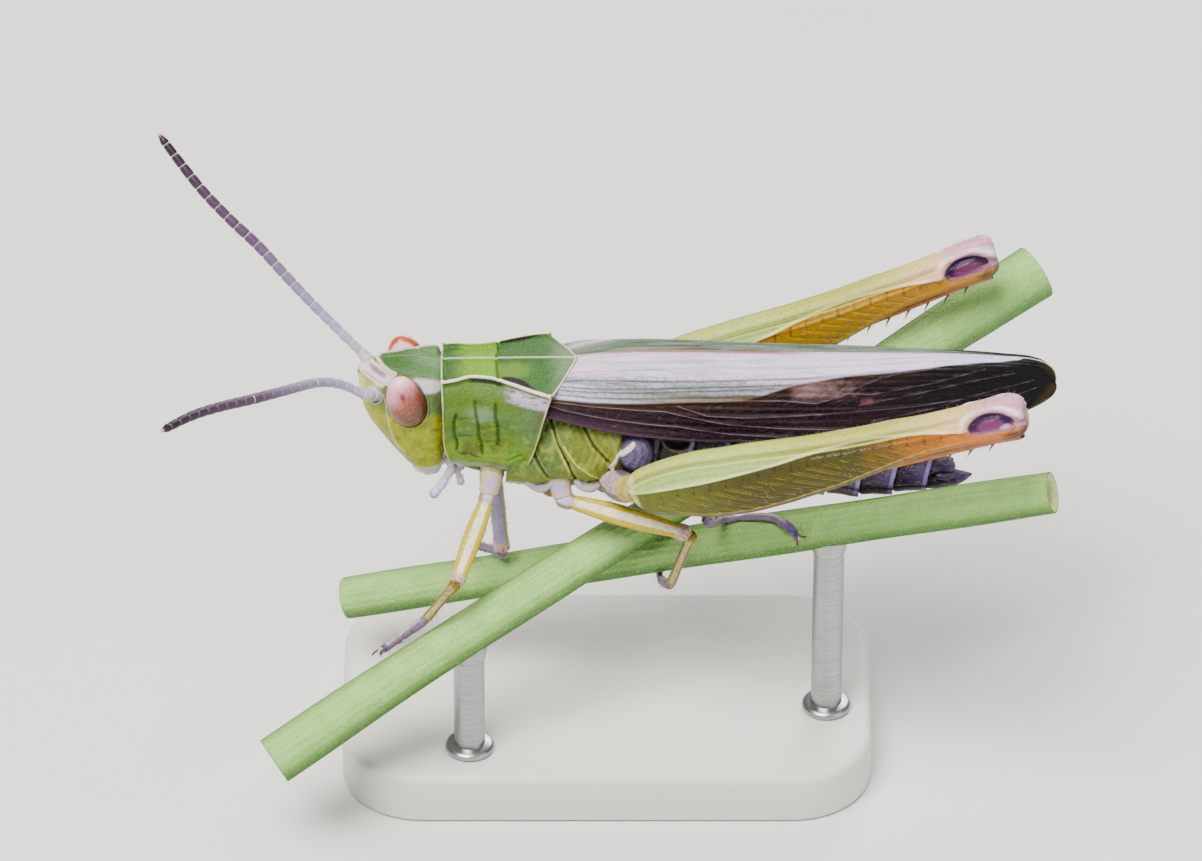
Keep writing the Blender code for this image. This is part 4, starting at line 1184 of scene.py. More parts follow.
def abdomen_paint(name="abdomen_rings"):
    paint = Finish(name, roughness=0.42)
    c = shades()
    part, high = paint.fields("part", "high")
    wobble = paint.drift(3.0)
    fine = paint.noise(22.0, 5.0)
    along = paint.noise(1.0, 3.0, paint.stretched(3.0, 14.0, 14.0))
    upper = paint.mix((part + wobble * 0.3).rise(0.25, 0.8), (74, 58, 82), c.mauve)
    lower = paint.mix((part + wobble * 0.3).rise(0.3, 0.9), (104, 92, 94), (132, 120, 124))
    ground = paint.layers(
        upper,
        ((high + wobble * 0.2).rise(-0.26, -0.42), lower),
        (along.rise(0.5, 0.7) * 0.4, (150, 138, 168)),
        (paint.field("share").rise(0.30, 0.0) * 0.75, (44, 32, 44)),
    )
    ground = paint.layers(
        paint.dapple(ground, 0.18, 8.0),
        (part.band(0.86, 0.985, 0.03) * 0.70, (170, 160, 206)),
        (part.rise(0.10, 0.0) * 0.8, (34, 22, 40)),
        (paint.field("seam").rise(0.12, 0.03) * 0.7, (58, 46, 56)),
        (paint.field("spiracle").rise(0.07, 0.03), (26, 18, 24)),
        (paint.field("ear").near(1.06, 0.14) * 0.8, (176, 164, 150)),
        (paint.field("ear").rise(0.95, 0.75), (52, 42, 50)),
    )
    return paint.coated(ground, (along, 0.010), (fine, 0.012), (paint.cells(16.0), 0.008),
                        rough=fine * 0.3 + 0.28, glow=(0.12, 0.22))


# length past the abdomen, height of the middle line, half width, half height
LOWER_VALVE = ((0.0, -0.22, 0.42, 0.26), (0.35, -0.24, 0.38, 0.26), (0.70, -0.24, 0.26, 0.20),
               (0.95, -0.20, 0.15, 0.12), (1.14, -0.14, 0.03, 0.03))
UPPER_PLATE = ((0.0, 0.22, 0.40, 0.20), (0.30, 0.22, 0.38, 0.19), (0.52, 0.18, 0.30, 0.14),
               (0.66, 0.14, 0.16, 0.08), (0.70, 0.12, 0.03, 0.03))


def make_tail():
    form = Form()
    turns = ring_turns(48)
    for rows, blue in ((LOWER_VALVE, 1.0), (UPPER_PLATE, 0.0)):
        places = np.linspace(-0.10, rows[-1][0], 60)
        height, width, tall = (column[:, None] for column in spline(rows, places).T)
        rings = np.stack([ABDOMEN_REAR[0] + places[:, None] + 0 * turns, np.cos(turns) * width,
                          ABDOMEN_REAR[2] + height + np.sin(turns) * tall], -1)
        form.grid(rings, part=places[:, None] / rows[-1][0] * 0.8, seam=1.0,
                  high=blue * 0.4 - 0.1, share=0.9, ear=FAR, spiracle=FAR)
    for side in (-1, 1):                         # cerci beside the upper plate
        root = ABDOMEN_REAR + (0.16, 0.34 * side, 0.06)
        path = curve([root, root + (0.26, 0.06 * side, 0.0), root + (0.50, 0.02 * side, 0.03)], 8)
        form.tube(path, 0.10 * np.sqrt(1 - np.linspace(0, 0.99, len(path)) ** 2.5), 16, part=0.5,
                  seam=1.0, high=0.2, ear=FAR, spiracle=FAR)
    form.made("tail_valves", ["abdomen_tip"], "abdomen_rings", abdomen_paint("tail_valves"))


def hair_paint():
    paint = Finish("hair", roughness=0.40)
    colour = paint.mix(paint.noise(3.0, 2.0), (206, 196, 176), (150, 136, 116))
    return paint.coated(colour)


# ---------------------------------------------------------------- wings

WING_TIP_X = 14.70
# x, roof height, shoulder half width, shoulder height, lower edge half width, its height
WING_ROWS = (
    (0.2, -0.10, 1.02, -0.32, 1.40, -0.86), (0.55, -0.07, 1.00, -0.28, 1.42, -0.92),
    (1.1, 0.00, 0.97, -0.16, 1.50, -1.02), (1.8, 0.06, 0.94, -0.06, 1.56, -1.18),
    (2.5, 0.10, 0.91, 0.00, 1.58, -1.33), (3.6, 0.10, 0.86, 0.02, 1.58, -1.50),
    (5.2, 0.07, 0.80, -0.02, 1.54, -1.64), (8.4, 0.03, 0.72, -0.07, 1.40, -1.70),
    (11.0, 0.01, 0.56, -0.08, 1.06, -1.66), (13.0, -0.01, 0.38, -0.08, 0.66, -1.52),
    (13.8, -0.03, 0.28, -0.10, 0.46, -1.40), (14.25, -0.12, 0.21, -0.18, 0.34, -1.24),
    (14.5, -0.26, 0.17, -0.32, 0.28, -1.08), (14.64, -0.44, 0.14, -0.48, 0.24, -0.92),
    (14.70, -0.66, 0.13, -0.67, 0.19, -0.74),
)
WING_DEPTH = 2.6                        # width of a wing round its curve, for the veins
# Lines on a wing: places along the body, and shares of the way from the roof to the lower edge
DARK_EDGE = ((0.0, 0.75), (1.0, 0.74), (1.9, 0.72), (5.2, 0.60), (6.2, 0.585), (7.8, 0.42), (9.2, 0.33),
             (10.5, 0.29), (12.0, 0.19), (13.5, 0.08), (14.2, -0.10), (14.8, -0.3))
PALE_VEINS = (
    ((0.6, 0.80), (3.07, 0.735), (4.26, 0.72), (5.9, 0.82), (7.35, 0.86), (9.6, 0.885), (12.0, 0.93)),
    ((4.6, 0.66), (5.4, 0.74), (6.4, 0.755), (7.6, 0.736), (9.35, 0.70), (11.0, 0.68), (13.2, 0.60)),
    ((0.6, 0.755), (1.9, 0.715), (5.2, 0.605), (6.2, 0.585), (7.4, 0.585), (8.3, 0.61), (8.9, 0.55),
     (9.6, 0.42), (10.3, 0.33), (11.4, 0.27)),
    ((0.8, 0.80), (1.53, 0.86), (4.67, 0.86), (6.0, 0.92), (8.4, 0.965)),
    ((8.6, 0.50), (9.8, 0.53), (11.5, 0.42), (12.8, 0.26)),
    ((9.4, 0.64), (11.0, 0.54), (12.4, 0.42), (13.6, 0.30)),
    ((9.8, 0.82), (11.4, 0.72), (13.0, 0.56), (14.1, 0.44)),
    ((11.2, 0.88), (12.8, 0.76), (14.2, 0.60)),
)
GREEN_VEINS = (
    ((0.8, 0.52), (2.2, 0.47), (5.0, 0.41), (8.0, 0.36), (10.4, 0.28)),
    ((0.8, 0.60), (2.2, 0.56), (5.2, 0.465), (7.5, 0.43), (9.0, 0.36)),
    ((0.8, 0.63), (2.2, 0.60), (5.2, 0.50), (7.4, 0.46)),
    ((1.4, 0.36), (4.0, 0.30), (8.0, 0.24), (12.0, 0.12)),
    ((1.6, 0.20), (5.0, 0.16), (9.0, 0.12), (13.0, 0.04)),
    ((0.9, 0.68), (2.2, 0.66), (5.2, 0.555), (7.0, 0.53)),
)


def make_wings():
    paint = wing_paint()
    for name, side in SIDES:
        shares = np.concatenate([np.linspace(0, 0.93, 330), np.linspace(0.9312, 1, 60)])
        steps = 26
        near = side < 0
        roof_y = -0.17 if near else 0.02          # the left wing laps over the right one
        guide = spline(WING_ROWS, 0.2 + (WING_TIP_X - 0.2) * shares)
        lift = 0.03 if near else -0.02
        outlines = []
        for place, (roof, shoulder_y, shoulder_z, edge_y, edge_z) in zip(shares, guide):
            lap = roof_y * ease(1 - place, 0.0, 0.25)
            across, down = edge_y - shoulder_y, edge_z - shoulder_z
            outlines.append(curve([
                (0, lap, roof + lift), (0, shoulder_y * 0.55, roof * 0.6 + shoulder_z * 0.4 + lift),
                (0, shoulder_y, shoulder_z), (0, shoulder_y + across * 0.42, shoulder_z + down * 0.32),
                (0, shoulder_y + across * 0.80, shoulder_z + down * 0.68), (0, edge_y, edge_z)],
                steps)[:, 1:])
        outline = np.stack(outlines)
        run = row_lengths(outline)
        across = run / run[:, -1:]
        start = shield_margin(np.abs(outline[0, :, 0]), outline[0, :, 1]) - 0.30
        x = start + (WING_TIP_X - start) * shares[:, None]
        rings = np.stack([x, outline[..., 0] * side, outline[..., 1]], -1)
        sheet = np.stack([x, across * WING_DEPTH], -1)
        pale, green = (off_all(sheet, [np.array(line) * (1, WING_DEPTH) for line in veins])
                       for veins in (PALE_VEINS, GREEN_VEINS))
        dark = across - spline(DARK_EDGE, x.ravel())[:, 0].reshape(x.shape)
        rise = sizes().vein_rise / MM
        height = (rise * hump(pale, 0.035) + rise * 0.8 * hump(green, 0.032)
                  + 0.025 * hump(across * WING_DEPTH, 0.04) + 0.02 * hump((1 - across) * WING_DEPTH, 0.04)
                  + 0.010 * np.sin(across * 95) * ease(x, 1.5, 3.0)
                  - 0.03 * ease(dark, 0.0, 0.05) * ease(x, 9.5, 6.5))
        form = Form()
        form.sheet(raised(rings, height, False), 0.045, pale=pale, green=green, across=across, dark=dark,
                   far=np.full_like(x, 1.0 - near))
        form.made(f"fore_wing_{name}", [f"tegmen_{name}"], "wing", paint)


def wing_paint():
    paint = Finish("fore_wing", roughness=0.40, Specular_IOR_Level=0.16)
    c = shades()
    x, across = paint.place("x"), paint.field("across")
    dark, pale, green, far = paint.fields("dark", "pale", "green", "far")
    wobble = paint.drift(1.6)
    sheet = paint.joined(x, across * WING_DEPTH, 0.0)
    streak = paint.noise(1.0, 4.0, paint.stretched(0.7, 9.0, 1.0, sheet))
    net = paint.cells(1.0, paint.stretched(4.2, 6.4, 1.0, sheet), "DISTANCE_TO_EDGE")
    cross = net.rise(0.075, 0.020)
    # The pale lilac band of the wings; its paleness on the near wing's roof is partly a painted sheen.
    band = paint.layers(
        (222, 210, 228),
        (streak.rise(0.40, 0.66), (196, 188, 206)),
        ((x + wobble).rise(6.5, 9.5) * 0.6, (226, 214, 236)),
        (x.rise(3.6, 1.6) * 0.5, (236, 210, 212)),
    )
    grey = paint.mix(streak.rise(0.42, 0.60), (186, 184, 196), (158, 158, 166))
    olive = paint.mix(streak.rise(0.40, 0.62), (128, 106, 76), (96, 76, 44))
    medial = paint.layers(
        (206, 206, 222),
        ((x + wobble).rise(1.0, 5.0), (156, 148, 140)),
        ((x + wobble).rise(4.2, 7.4), olive),
    )
    ground = paint.layers(
        band,
        ((across + wobble * 0.04).rise(0.36, 0.47) * x.rise(9.0, 6.5), grey),
        ((across + wobble * 0.03).rise(0.50, 0.56) * x.rise(8.8, 7.2), medial),
    )
    # painted shade: on the far wing the roof loses the band's painted sheen and turns a duller grey-green
    roof = paint.mix(streak.rise(0.40, 0.62), (140, 152, 138), (108, 122, 98))
    ground = paint.mix(far * across.rise(0.42, 0.30), ground, roof)
    brown = paint.layers(
        (78, 58, 34),
        ((dark + wobble * 0.05).rise(0.02, 0.14), c.plum),
        (streak.rise(0.50, 0.70) * 0.35, (90, 64, 74)),
        ((x + wobble * 0.5).rise(9.0, 12.0) * 0.96, (16, 5, 16)),
        (across.rise(0.86, 0.98) * x.rise(7.0, 3.0) * 0.8, (96, 72, 90)),
    )
    tip = (x + abs(across - 0.45) * 1.2).rise(14.55, 14.95)
    stigma = x.band(7.75, 9.4, 0.30) * across.band(0.38, 0.56, 0.04)
    marble = paint.noise(4.6, 5.0, sheet)
    spot = x.square(9.68) * 2.2 + across.square(0.60) * 60 + wobble * 0.16
    ground = paint.layers(
        ground,
        (dark.rise(-0.015, 0.02), brown),
        (stigma * (x.rise(9.4, 7.8) * 0.42 + marble.rise(0.38, 0.66) * 0.18 + cross * 0.12),
         (186, 156, 156)),
        (spot.rise(0.16, 0.02) * marble.rise(0.36, 0.60) * 0.38, (170, 116, 118)),
        (cross * dark.rise(0.01, 0.05) * x.rise(11.5, 8.0) * 0.08, (150, 128, 132)),
        (cross * dark.rise(0.0, -0.04) * across.rise(0.30, 0.42) * 0.34, (104, 112, 108)),
        (green.rise(0.038, 0.012) * dark.rise(0.0, -0.02) * across.rise(0.24, 0.42) * 0.72,
         (104, 116, 104)),
        (green.rise(0.040, 0.014) * across.rise(0.40, 0.24) * 0.30, (150, 140, 160)),
        (pale.rise(0.020, 0.003) * x.rise(11.0, 8.0) * (streak * 0.7 + 0.06), (176, 156, 172)),
        (pale.rise(0.022, 0.006) * x.rise(8.5, 11.5) * (streak.rise(0.35, 0.6) * 0.55), (150, 124, 150)),
        (tip * 0.9, (78, 72, 22)),
        (across.rise(0.040, 0.014) * x.band(2.4, 8.0, 1.2) * (1 - far), (190, 118, 124)),
        (across.rise(0.030, 0.012) * x.rise(7.5, 9.0), (206, 190, 206)),
        (x.rise(1.55, 1.15) * across.band(0.60, 0.80, 0.06) * 0.6, (142, 70, 66)),
    )
    return paint.coated(ground, (cross, 0.010), (streak, 0.014), (paint.noise(40.0, 3.0), 0.003),
                        rough=streak * 0.25 + 0.32, glow=(0.12, 0.20))


# ---------------------------------------------------------------- stems and grip

STEMS = {
    "front": ((-6.2, -5.18, -9.56), (-2.8, -3.62, -7.87), (2.53, -1.06, -5.54), (7.0, 1.48, -3.92),
              (14.4, 5.60, -1.10)),
    "rear": ((-4.4, 1.30, -8.98), (-1.07, 0.75, -7.92), (4.4, -0.20, -6.20), (11.87, -1.50, -3.85),
             (14.6, -1.97, -2.99)),
}
STEM_WAIST = 0.57
STEM_ENDS = {"front": (0.66, 0.78), "rear": (0.56, 0.56)}
TARSUS_REST = 0.15                      # middle line of a foot above the stem it stands on


def stem_radii(which, shares):
    end = np.where(shares < 0.5, *STEM_ENDS[which])
    return STEM_WAIST + (end - STEM_WAIST) * np.abs(2 * shares - 1) ** 1.6


def stem_point(which, x):
    """Point of a stem's middle line at this x, and the direction there."""
    path = curve(STEMS[which], 24)
    index = int(np.searchsorted(path[:, 0], x))
    before, after = path[index - 1], path[index]
    share = (x - before[0]) / (after[0] - before[0])
    return before + (after - before) * share, unit(after - before)


def grip(which, x, turn, spare=0.0):
    """Middle line of a foot on a stem. Turn is in degrees from straight up to +Y."""
    place, along = stem_point(which, x)
    right = unit(np.array((0.0, 1.0, 0.0)) - along * along[1])
    up = np.cross(along, right)
    away = STEM_WAIST + TARSUS_REST + spare
    return place + (up * cos(radians(turn)) + right * sin(radians(turn))) * away


def make_stems():
    paint, cut_paint = stem_paint(), stem_cut_paint()
    for which, route in STEMS.items():
        path, shares = limb(route, 30, 420)
        turns = ring_turns(144)
        radii = stem_radii(which, shares)
        rings = tube_rings(path, radii, 144, up=np.array((0.0, -0.6, 0.8)))
        ribs = 0.012 * np.cos(turns * 18)[None] + 0.02 * np.sin(turns * 2 + 1.0)[None]
        rings = raised(rings, ribs * 0.6 + 0.012 * np.sin(shares * 23)[:, None])
        form = Form()
        form.grid(rings, ends=(False, False), up=np.sin(turns)[None], out=np.cos(turns)[None],
                  run=(shares * lengths(path)[-1])[:, None], depth=0.0)
        for row, inward in ((0, 1), (-1, -1)):     # cut ends, hollow in the middle
            middle = path[row]
            along = unit(path[1] - path[0]) if row == 0 else unit(path[-1] - path[-2])
            levels = (1.0, 0.985, 0.90, 0.70, 0.62, 0.58, 0.50)
            sinks = (0.0, -0.012, -0.004, 0.02, 0.05, 0.40, 0.80)
            disc = np.stack([middle + (rings[row] - middle) * level + along * inward * sink
                             for level, sink in zip(levels, sinks)])
            disc = disc if row == -1 else disc[::-1]
            depth = np.array(levels if row == -1 else levels[::-1])[:, None]
            begin = form.count
            form.grid(disc, ends=(row == 0, row == -1), coat=1, up=0.0, out=0.0, run=0.0, depth=depth)
            form.face_along(begin, along * -inward)
        form.made(f"grass_stem_{which}", [f"perch_stem_{which}"], "grass_stem", paint, cut_paint)


def stem_paint():
    paint = Finish("grass_stem", roughness=0.46)
    c = stand()
    up = paint.field("up")
    run, out = paint.fields("run", "out")
    fibre = paint.noise(1.0, 4.0, paint.joined(run * 0.8, up * 9.0, out * 9.0))
    grain = paint.cells(11.0)
    fine = paint.noise(30.0, 4.0)
    # bloom_and_sheen: the stem's own pale bloom together with a painted sheen, palest on the side that
    # faces up towards the camera and the key light
    bloom_and_sheen = (up + (fibre - 0.5) * 0.30).rise(0.15, 0.95)
    ground = paint.layers(
        c.stem,
        (bloom_and_sheen * 0.86, c.stem_light),
        (fibre.rise(0.45, 0.70) * 0.22, (124, 164, 56)),
        (grain.rise(0.30, 0.08) * 0.50, (214, 230, 190)),
        (fine.rise(0.58, 0.75) * 0.30, (70, 112, 30)),
    )
    return paint.coated(paint.dapple(ground, 0.08, 2.0), (grain, 0.024), (fibre, 0.010), (fine, 0.010),
                        rough=fine * 0.25 + 0.34, glow=(0.18, 0.35))


def stem_cut_paint():
    paint = Finish("grass_stem_cut", roughness=0.60)
    depth = paint.field("depth")
    dots = paint.cells(14.0)
    ground = paint.layers(
        (206, 214, 160),
        (dots.rise(0.32, 0.14), (150, 166, 92)),
        (depth.rise(0.90, 0.97), (112, 146, 52)),
        (depth.rise(0.62, 0.52), (120, 112, 70)),
    )
    return paint.coated(ground, (dots, 0.02))


# ---------------------------------------------------------------- slim legs

# hip end of the coxa, its lower end, knee, ankle, then the foot's points
SLIM_LEGS = {
    "fore_left": ((-0.32, -0.80, -2.86), (-0.46, -1.20, -3.66), (-1.33, -3.16, -5.16),
                  (-2.15, -2.95, -6.50),
                  (grip("front", -2.58, 30, 0.14), grip("front", -2.86, 24, 0.15))),
    "fore_right": ((-0.32, 0.80, -2.86), (-0.42, 1.14, -3.66), (-0.11, 0.12, -6.56),
                   (-0.98, 1.36, -7.16),
                   (grip("rear", -1.20, 92, 0.04), grip("rear", -1.35, 130))),
    "mid_left": ((1.36, -1.02, -2.92), (1.56, -1.46, -3.60), (4.98, -2.00, -4.36),
                 (4.42, -1.16, -6.70),
                 (grip("rear", 4.02, 206, 0.04), grip("rear", 3.90, 150))),
    "mid_right": ((1.36, 1.02, -2.92), (1.56, 1.46, -3.60), (3.60, 3.20, -4.86), (4.45, 1.56, -5.00),
                  (grip("front", 5.0, 48, 0.08), grip("front", 5.6, 40))),
}


def hairs_on(form, path, girth, count, low, high, seed, lean=0.8, coat=1, turns=(0, 2 * pi)):
    """Fine hairs that stand along a limb and lean towards its end."""
    draw = random.Random(seed)
    _, side, top = directions(path)
    longest = sizes().hair / MM
    for _ in range(count):
        index = draw.randrange(int(len(path) * low), int((len(path) - 1) * high))
        turn = draw.uniform(*turns)
        out = side[index] * cos(turn) + top[index] * sin(turn)
        ahead = unit(path[min(index + 1, len(path) - 1)] - path[max(index - 1, 0)])
        root = path[index] + out * girth[index] * 0.95
        reach = longest * draw.uniform(0.35, 0.9)
        form.thorn(root, root + unit(out + ahead * lean) * reach, 0.007, 3, steps=3,
                   bend=ahead * reach * 0.06, coat=coat, up=0.0, out=0.0)


def facing_out(side_sign):
    """The way the pale face of a leg looks."""
    return np.array((0.0, 0.81 * side_sign, 0.59))


def make_slim_leg(name, hip, coxa_end, knee, ankle, foot, finishes):
    sign = -1 if name.endswith("left") else 1
    facing = facing_out(sign)
    hip, coxa_end, knee, ankle = (np.array(point, float) for point in (hip, coxa_end, knee, ankle))
    hair = hair_paint()
    socket = Form()
    path = even(np.array([hip, coxa_end]), 60)
    share = np.linspace(0, 1, 60)
    girth = np.interp(share, (0, 0.25, 0.6, 0.9, 1.0), (0.36, 0.35, 0.29, 0.26, 0.16))
    socket.tube(path, girth - 0.03 * hump(share - 0.22, 0.05), 48, up=facing)
    ahead = unit(knee - coxa_end)
    trochanter = even(np.array([coxa_end - ahead * 0.22, coxa_end + ahead * 0.34]), 40)
    share = np.linspace(0, 1, 40)
    socket.tube(trochanter, 0.235 * round_ends(2 * share - 1, 3.0, 0.003), 40,
                up=facing, coat=2)
    socket.made(f"{name}_hip", [f"{name}_coxa"], "leg", finishes["hip"], hair, finishes["joint"])
    thigh = Form()
    path, share = limb([coxa_end + ahead * 0.12, (coxa_end + knee) / 2 + facing * 0.04, knee], 20, 140)
    wide = {"mid": 0.285, "fore": 0.262}[name.split("_")[0]] * (0.84 if name == "fore_right" else 1.0)
    girth = np.interp(share, (0, 0.10, 0.35, 0.60, 0.85, 0.93, 0.97, 1.0),
                      (0.17, 0.215, wide, wide * 0.97, 0.205, 0.235, 0.215, 0.05))
    turns = ring_turns(64)
    rings = tube_rings(path, girth, 64, facing)
    edges = np.min([np.abs(np.angle(np.exp(1j * (turns - edge)))) for edge in
                    (radians(38), radians(142), radians(232), radians(308))], axis=0)
    body = ease(share, 0.05, 0.15) * ease(1 - share, 0.06, 0.14)
    form_lift = 0.020 * hump(edges, 0.16)[None] * body[:, None] - 0.018 * hump(
        np.abs(turns - pi / 2), 0.45)[None] * body[:, None]
    thigh.grid(raised(rings, form_lift), run=(share * np.linalg.norm(knee - coxa_end))[:, None],
               share=share[:, None], up=np.sin(turns)[None], out=np.cos(turns)[None])
    hairs_on(thigh, path, girth, 70, 0.1, 0.95, f"{name} thigh")
    thigh.made(f"{name}_thigh", [f"{name}_femur"], "leg", finishes["thigh"], hair)
    shin = Form()
    lead = unit(ankle - knee)
    path, share = limb([knee - lead * 0.04, knee + lead * 0.30 + facing * 0.02, ankle], 20, 110)
    girth = np.interp(share, (0, 0.03, 0.10, 0.18, 0.6, 0.94, 1.0),
                      (0.08, 0.17, 0.16, 0.125, 0.118, 0.135, 0.10))
    shin.tube(path, girth, 32, up=facing)
    _, side, top = directions(path, facing)
    for row in (-1, 1):
        for index in range(34, 108, 12):
            root = path[index] + (side[index] * 0.75 * row - top[index] * 0.6) * girth[index] * 0.8
            shin.thorn(root, root + (side[index] * 0.5 * row - top[index] * 0.7 + lead * 0.9) * 0.11,
                       0.016, 6, coat=2, up=0.0, out=0.0)
    hairs_on(shin, path, girth, 60, 0.1, 0.98, f"{name} shin")
    shin.made(f"{name}_shin", [f"{name}_tibia"], "leg",
              finishes["lilac_shin" if name == "fore_right" else "shin"], hair, finishes["claw"])
    make_foot(name, [ankle - lead * 0.03, *foot], 0.125, finishes, hair)


def make_foot(name, points, girth, finishes, hair, joints=(0.34, 0.52)):
    """Three foot joints with pads, two claws and the lobe between them."""
    form = Form()
    path, share = limb(points, 14, 120)
    swell = np.interp(share, (0, 0.10, 0.30, 0.42, 0.60, 0.90, 1.0),
                      (1.0, 1.12, 1.05, 1.0, 0.72, 0.92, 0.85))
    waist = np.min([np.abs(share - joint) for joint in joints], axis=0)
    radii = girth * swell * (1 - 0.34 * hump(waist, 0.022)) * np.sqrt(np.clip((1.003 - share) / 0.04, 0, 1))
    form.tube(path, np.maximum(radii, 0.004), 28)
    middle = np.mean(points, axis=0)
    which = min(STEMS, key=lambda stem: np.linalg.norm(stem_point(stem, middle[0])[0] - middle))

    def towards_stem(point):
        return unit(stem_point(which, point[0])[0] - point)

    for place in (0.16, 0.29, 0.47, 0.62):        # pads under the joints
        centre = path[int(place * 119)]
        along = unit(path[int(place * 119) + 1] - path[int(place * 119) - 1])
        down = towards_stem(centre)
        root = centre + down * girth * 0.62
        pad = even(np.array([root - along * 0.10, root + along * 0.10]), 16)
        bulge = round_ends(np.linspace(-1, 1, 16), 2.4)
        form.tube(pad, 0.062 * bulge, 14, up=-down)
    end = path[-4]
    ahead = unit(path[-4] - path[-12])
    down = towards_stem(end)
    side = unit(np.cross(ahead, down))
    claw = sizes().claw / MM
    for across in (-1, 1):
        first = end + side * across * 0.05
        way = curve([first, first + ahead * claw * 0.45 + side * across * 0.10 * claw - down * 0.02,
                     first + ahead * claw * 0.80 + side * across * 0.36 * claw + down * claw * 0.16,
                     first + ahead * claw * 0.86 + side * across * 0.44 * claw + down * claw * 0.46], 6)
        reach = np.linspace(0, 1, len(way))
        form.tube(way, 0.042 * (1 - 0.93 * reach ** 1.3), 12, coat=2)
    lobe = even(np.array([end, end + ahead * 0.20 + down * 0.05]), 18)
    form.tube(lobe, 0.075 * round_ends(np.linspace(-0.4, 1, 18), 2), 18,
              up=-down, flat=1.2, coat=3)
    hairs_on(form, path, np.full(len(path), girth), 46, 0.05, 0.95, f"{name} foot")
    form.made(f"{name}_foot", [f"{name}_tarsus"], "foot", finishes["foot"], hair, finishes["claw"],
              finishes["joint"])


def limb_paint(name, face, edge, low, tip, spot, tip_from=0.86, stripe_half=0.80):
    """A leg's finish: the pale face, its edges, the underside, and the colour of its far end."""
    paint = Finish(name, roughness=0.40)
    up, share = paint.fields("up", "share")
    wobble = paint.drift(4.0)
    fine, pits = paint.noise(28.0, 4.0), paint.cells(20.0)
    ground = paint.mix((up + wobble * 0.35).rise(-0.25, -0.75), edge, low)
    stripe = (up + wobble * 0.08).rise(stripe_half, stripe_half + 0.09)
    ground = paint.layers(
        ground,
        (stripe * share.rise(0.02, 0.10), paint.mix(fine.rise(0.4, 0.65) * 0.5, face, (240, 234, 226))),
        ((share + wobble * 0.05).rise(tip_from, tip_from + 0.07), tip),
        (share.rise(0.90, 0.96) * paint.noise(11.0, 3.0).rise(0.50, 0.60) * 0.7, spot),
    )
    return paint.coated(paint.dapple(ground, 0.12, 10.0), (pits, 0.010), (fine, 0.008),
                        rough=fine * 0.25 + 0.28, glow=(0.15, 0.22))


def hip_paint():
    """Green above, a soft lilac swelling on its face, and a darker tan towards the sides that is partly
    painted shade.
    """
    paint = Finish("leg_hip", roughness=0.40)
    up, share = paint.fields("up", "share")
    wobble, fine = paint.drift(3.0), paint.noise(26.0, 4.0)
    ground = paint.layers(
        (206, 192, 168),
        # darker tan away from the face: partly the hip's own colour and partly painted shade
        ((up + wobble * 0.8).rise(0.7, -0.2), (150, 134, 96)),
        ((share + wobble * 0.5).rise(0.34, 0.06) * 0.8, (150, 158, 84)),
    )
    swelling = share.square(0.60) * 13 + (1 - up) * 2.4 + wobble * 2.0
    ground = paint.layers(paint.dapple(ground, 0.16, 8.0),
                          (swelling.rise(1.0, 0.0) * 0.80, (184, 178, 212)),
                          (share.rise(0.88, 0.97) * 0.5, (122, 96, 88)))
    return paint.coated(ground, (paint.cells(18.0), 0.010), (fine, 0.008), rough=fine * 0.25 + 0.28,
                        glow=(0.15, 0.22))


def claw_paint():
    paint = Finish("claw", roughness=0.24)
    share = paint.field("share")
    darker = (share + (paint.noise(12.0) - 0.5) * 0.3).rise(0.30, 0.75)
    return paint.coated(paint.mix(darker, (150, 118, 106), (24, 14, 14)), (paint.noise(40.0, 3.0), 0.003))


def leg_finishes():
    return {
        "hip": hip_paint(),
        "joint": limb_paint("leg_joint", (188, 178, 204), (170, 152, 156), (146, 128, 126),
                            (206, 196, 200), (140, 104, 96)),
        "thigh": limb_paint("leg_thigh", (234, 222, 196), (202, 188, 36), (176, 166, 190),
                            (208, 182, 172), (122, 80, 56), stripe_half=0.86),
        "shin": limb_paint("leg_shin", (172, 156, 70), (150, 136, 40), (118, 108, 34),
                           (160, 140, 120), (120, 96, 60)),
        "lilac_shin": limb_paint("lilac_shin", (176, 164, 186), (160, 146, 166), (150, 136, 158),
                                 (150, 134, 160), (104, 84, 100)),
        "foot": limb_paint("leg_foot", (172, 158, 176), (146, 128, 150), (110, 92, 112),
                           (132, 116, 158), (78, 58, 78)),
        "hind_hip": limb_paint("hind_hip", (168, 152, 146), (140, 122, 134), (104, 88, 92),
                               (196, 180, 110), (120, 100, 110), 0.62, 0.70),
        "claw": claw_paint(),
        "orange_shin": shin_paint(),
    }


def make_slim_legs():
    finishes = leg_finishes()
    for name, points in SLIM_LEGS.items():
        make_slim_leg(name, *points, finishes)


# ---------------------------------------------------------------- hind legs

HIPS = {"hind_left": (3.34, -2.50, -2.46), "hind_right": (3.34, 2.50, -2.46)}
KNEES = {"hind_left": (13.70, -3.72, 0.90), "hind_right": (13.16, 3.74, 0.84)}
HIND_FEET = {
    "hind_left": (grip("rear", 6.1, -8, 0.10), grip("rear", 7.2, -10), grip("rear", 7.75, -36),
                  grip("rear", 8.05, -72)),
    "hind_right": (grip("front", 6.2, 56, 0.12), grip("front", 7.2, 34), grip("front", 7.9, 12)),
}
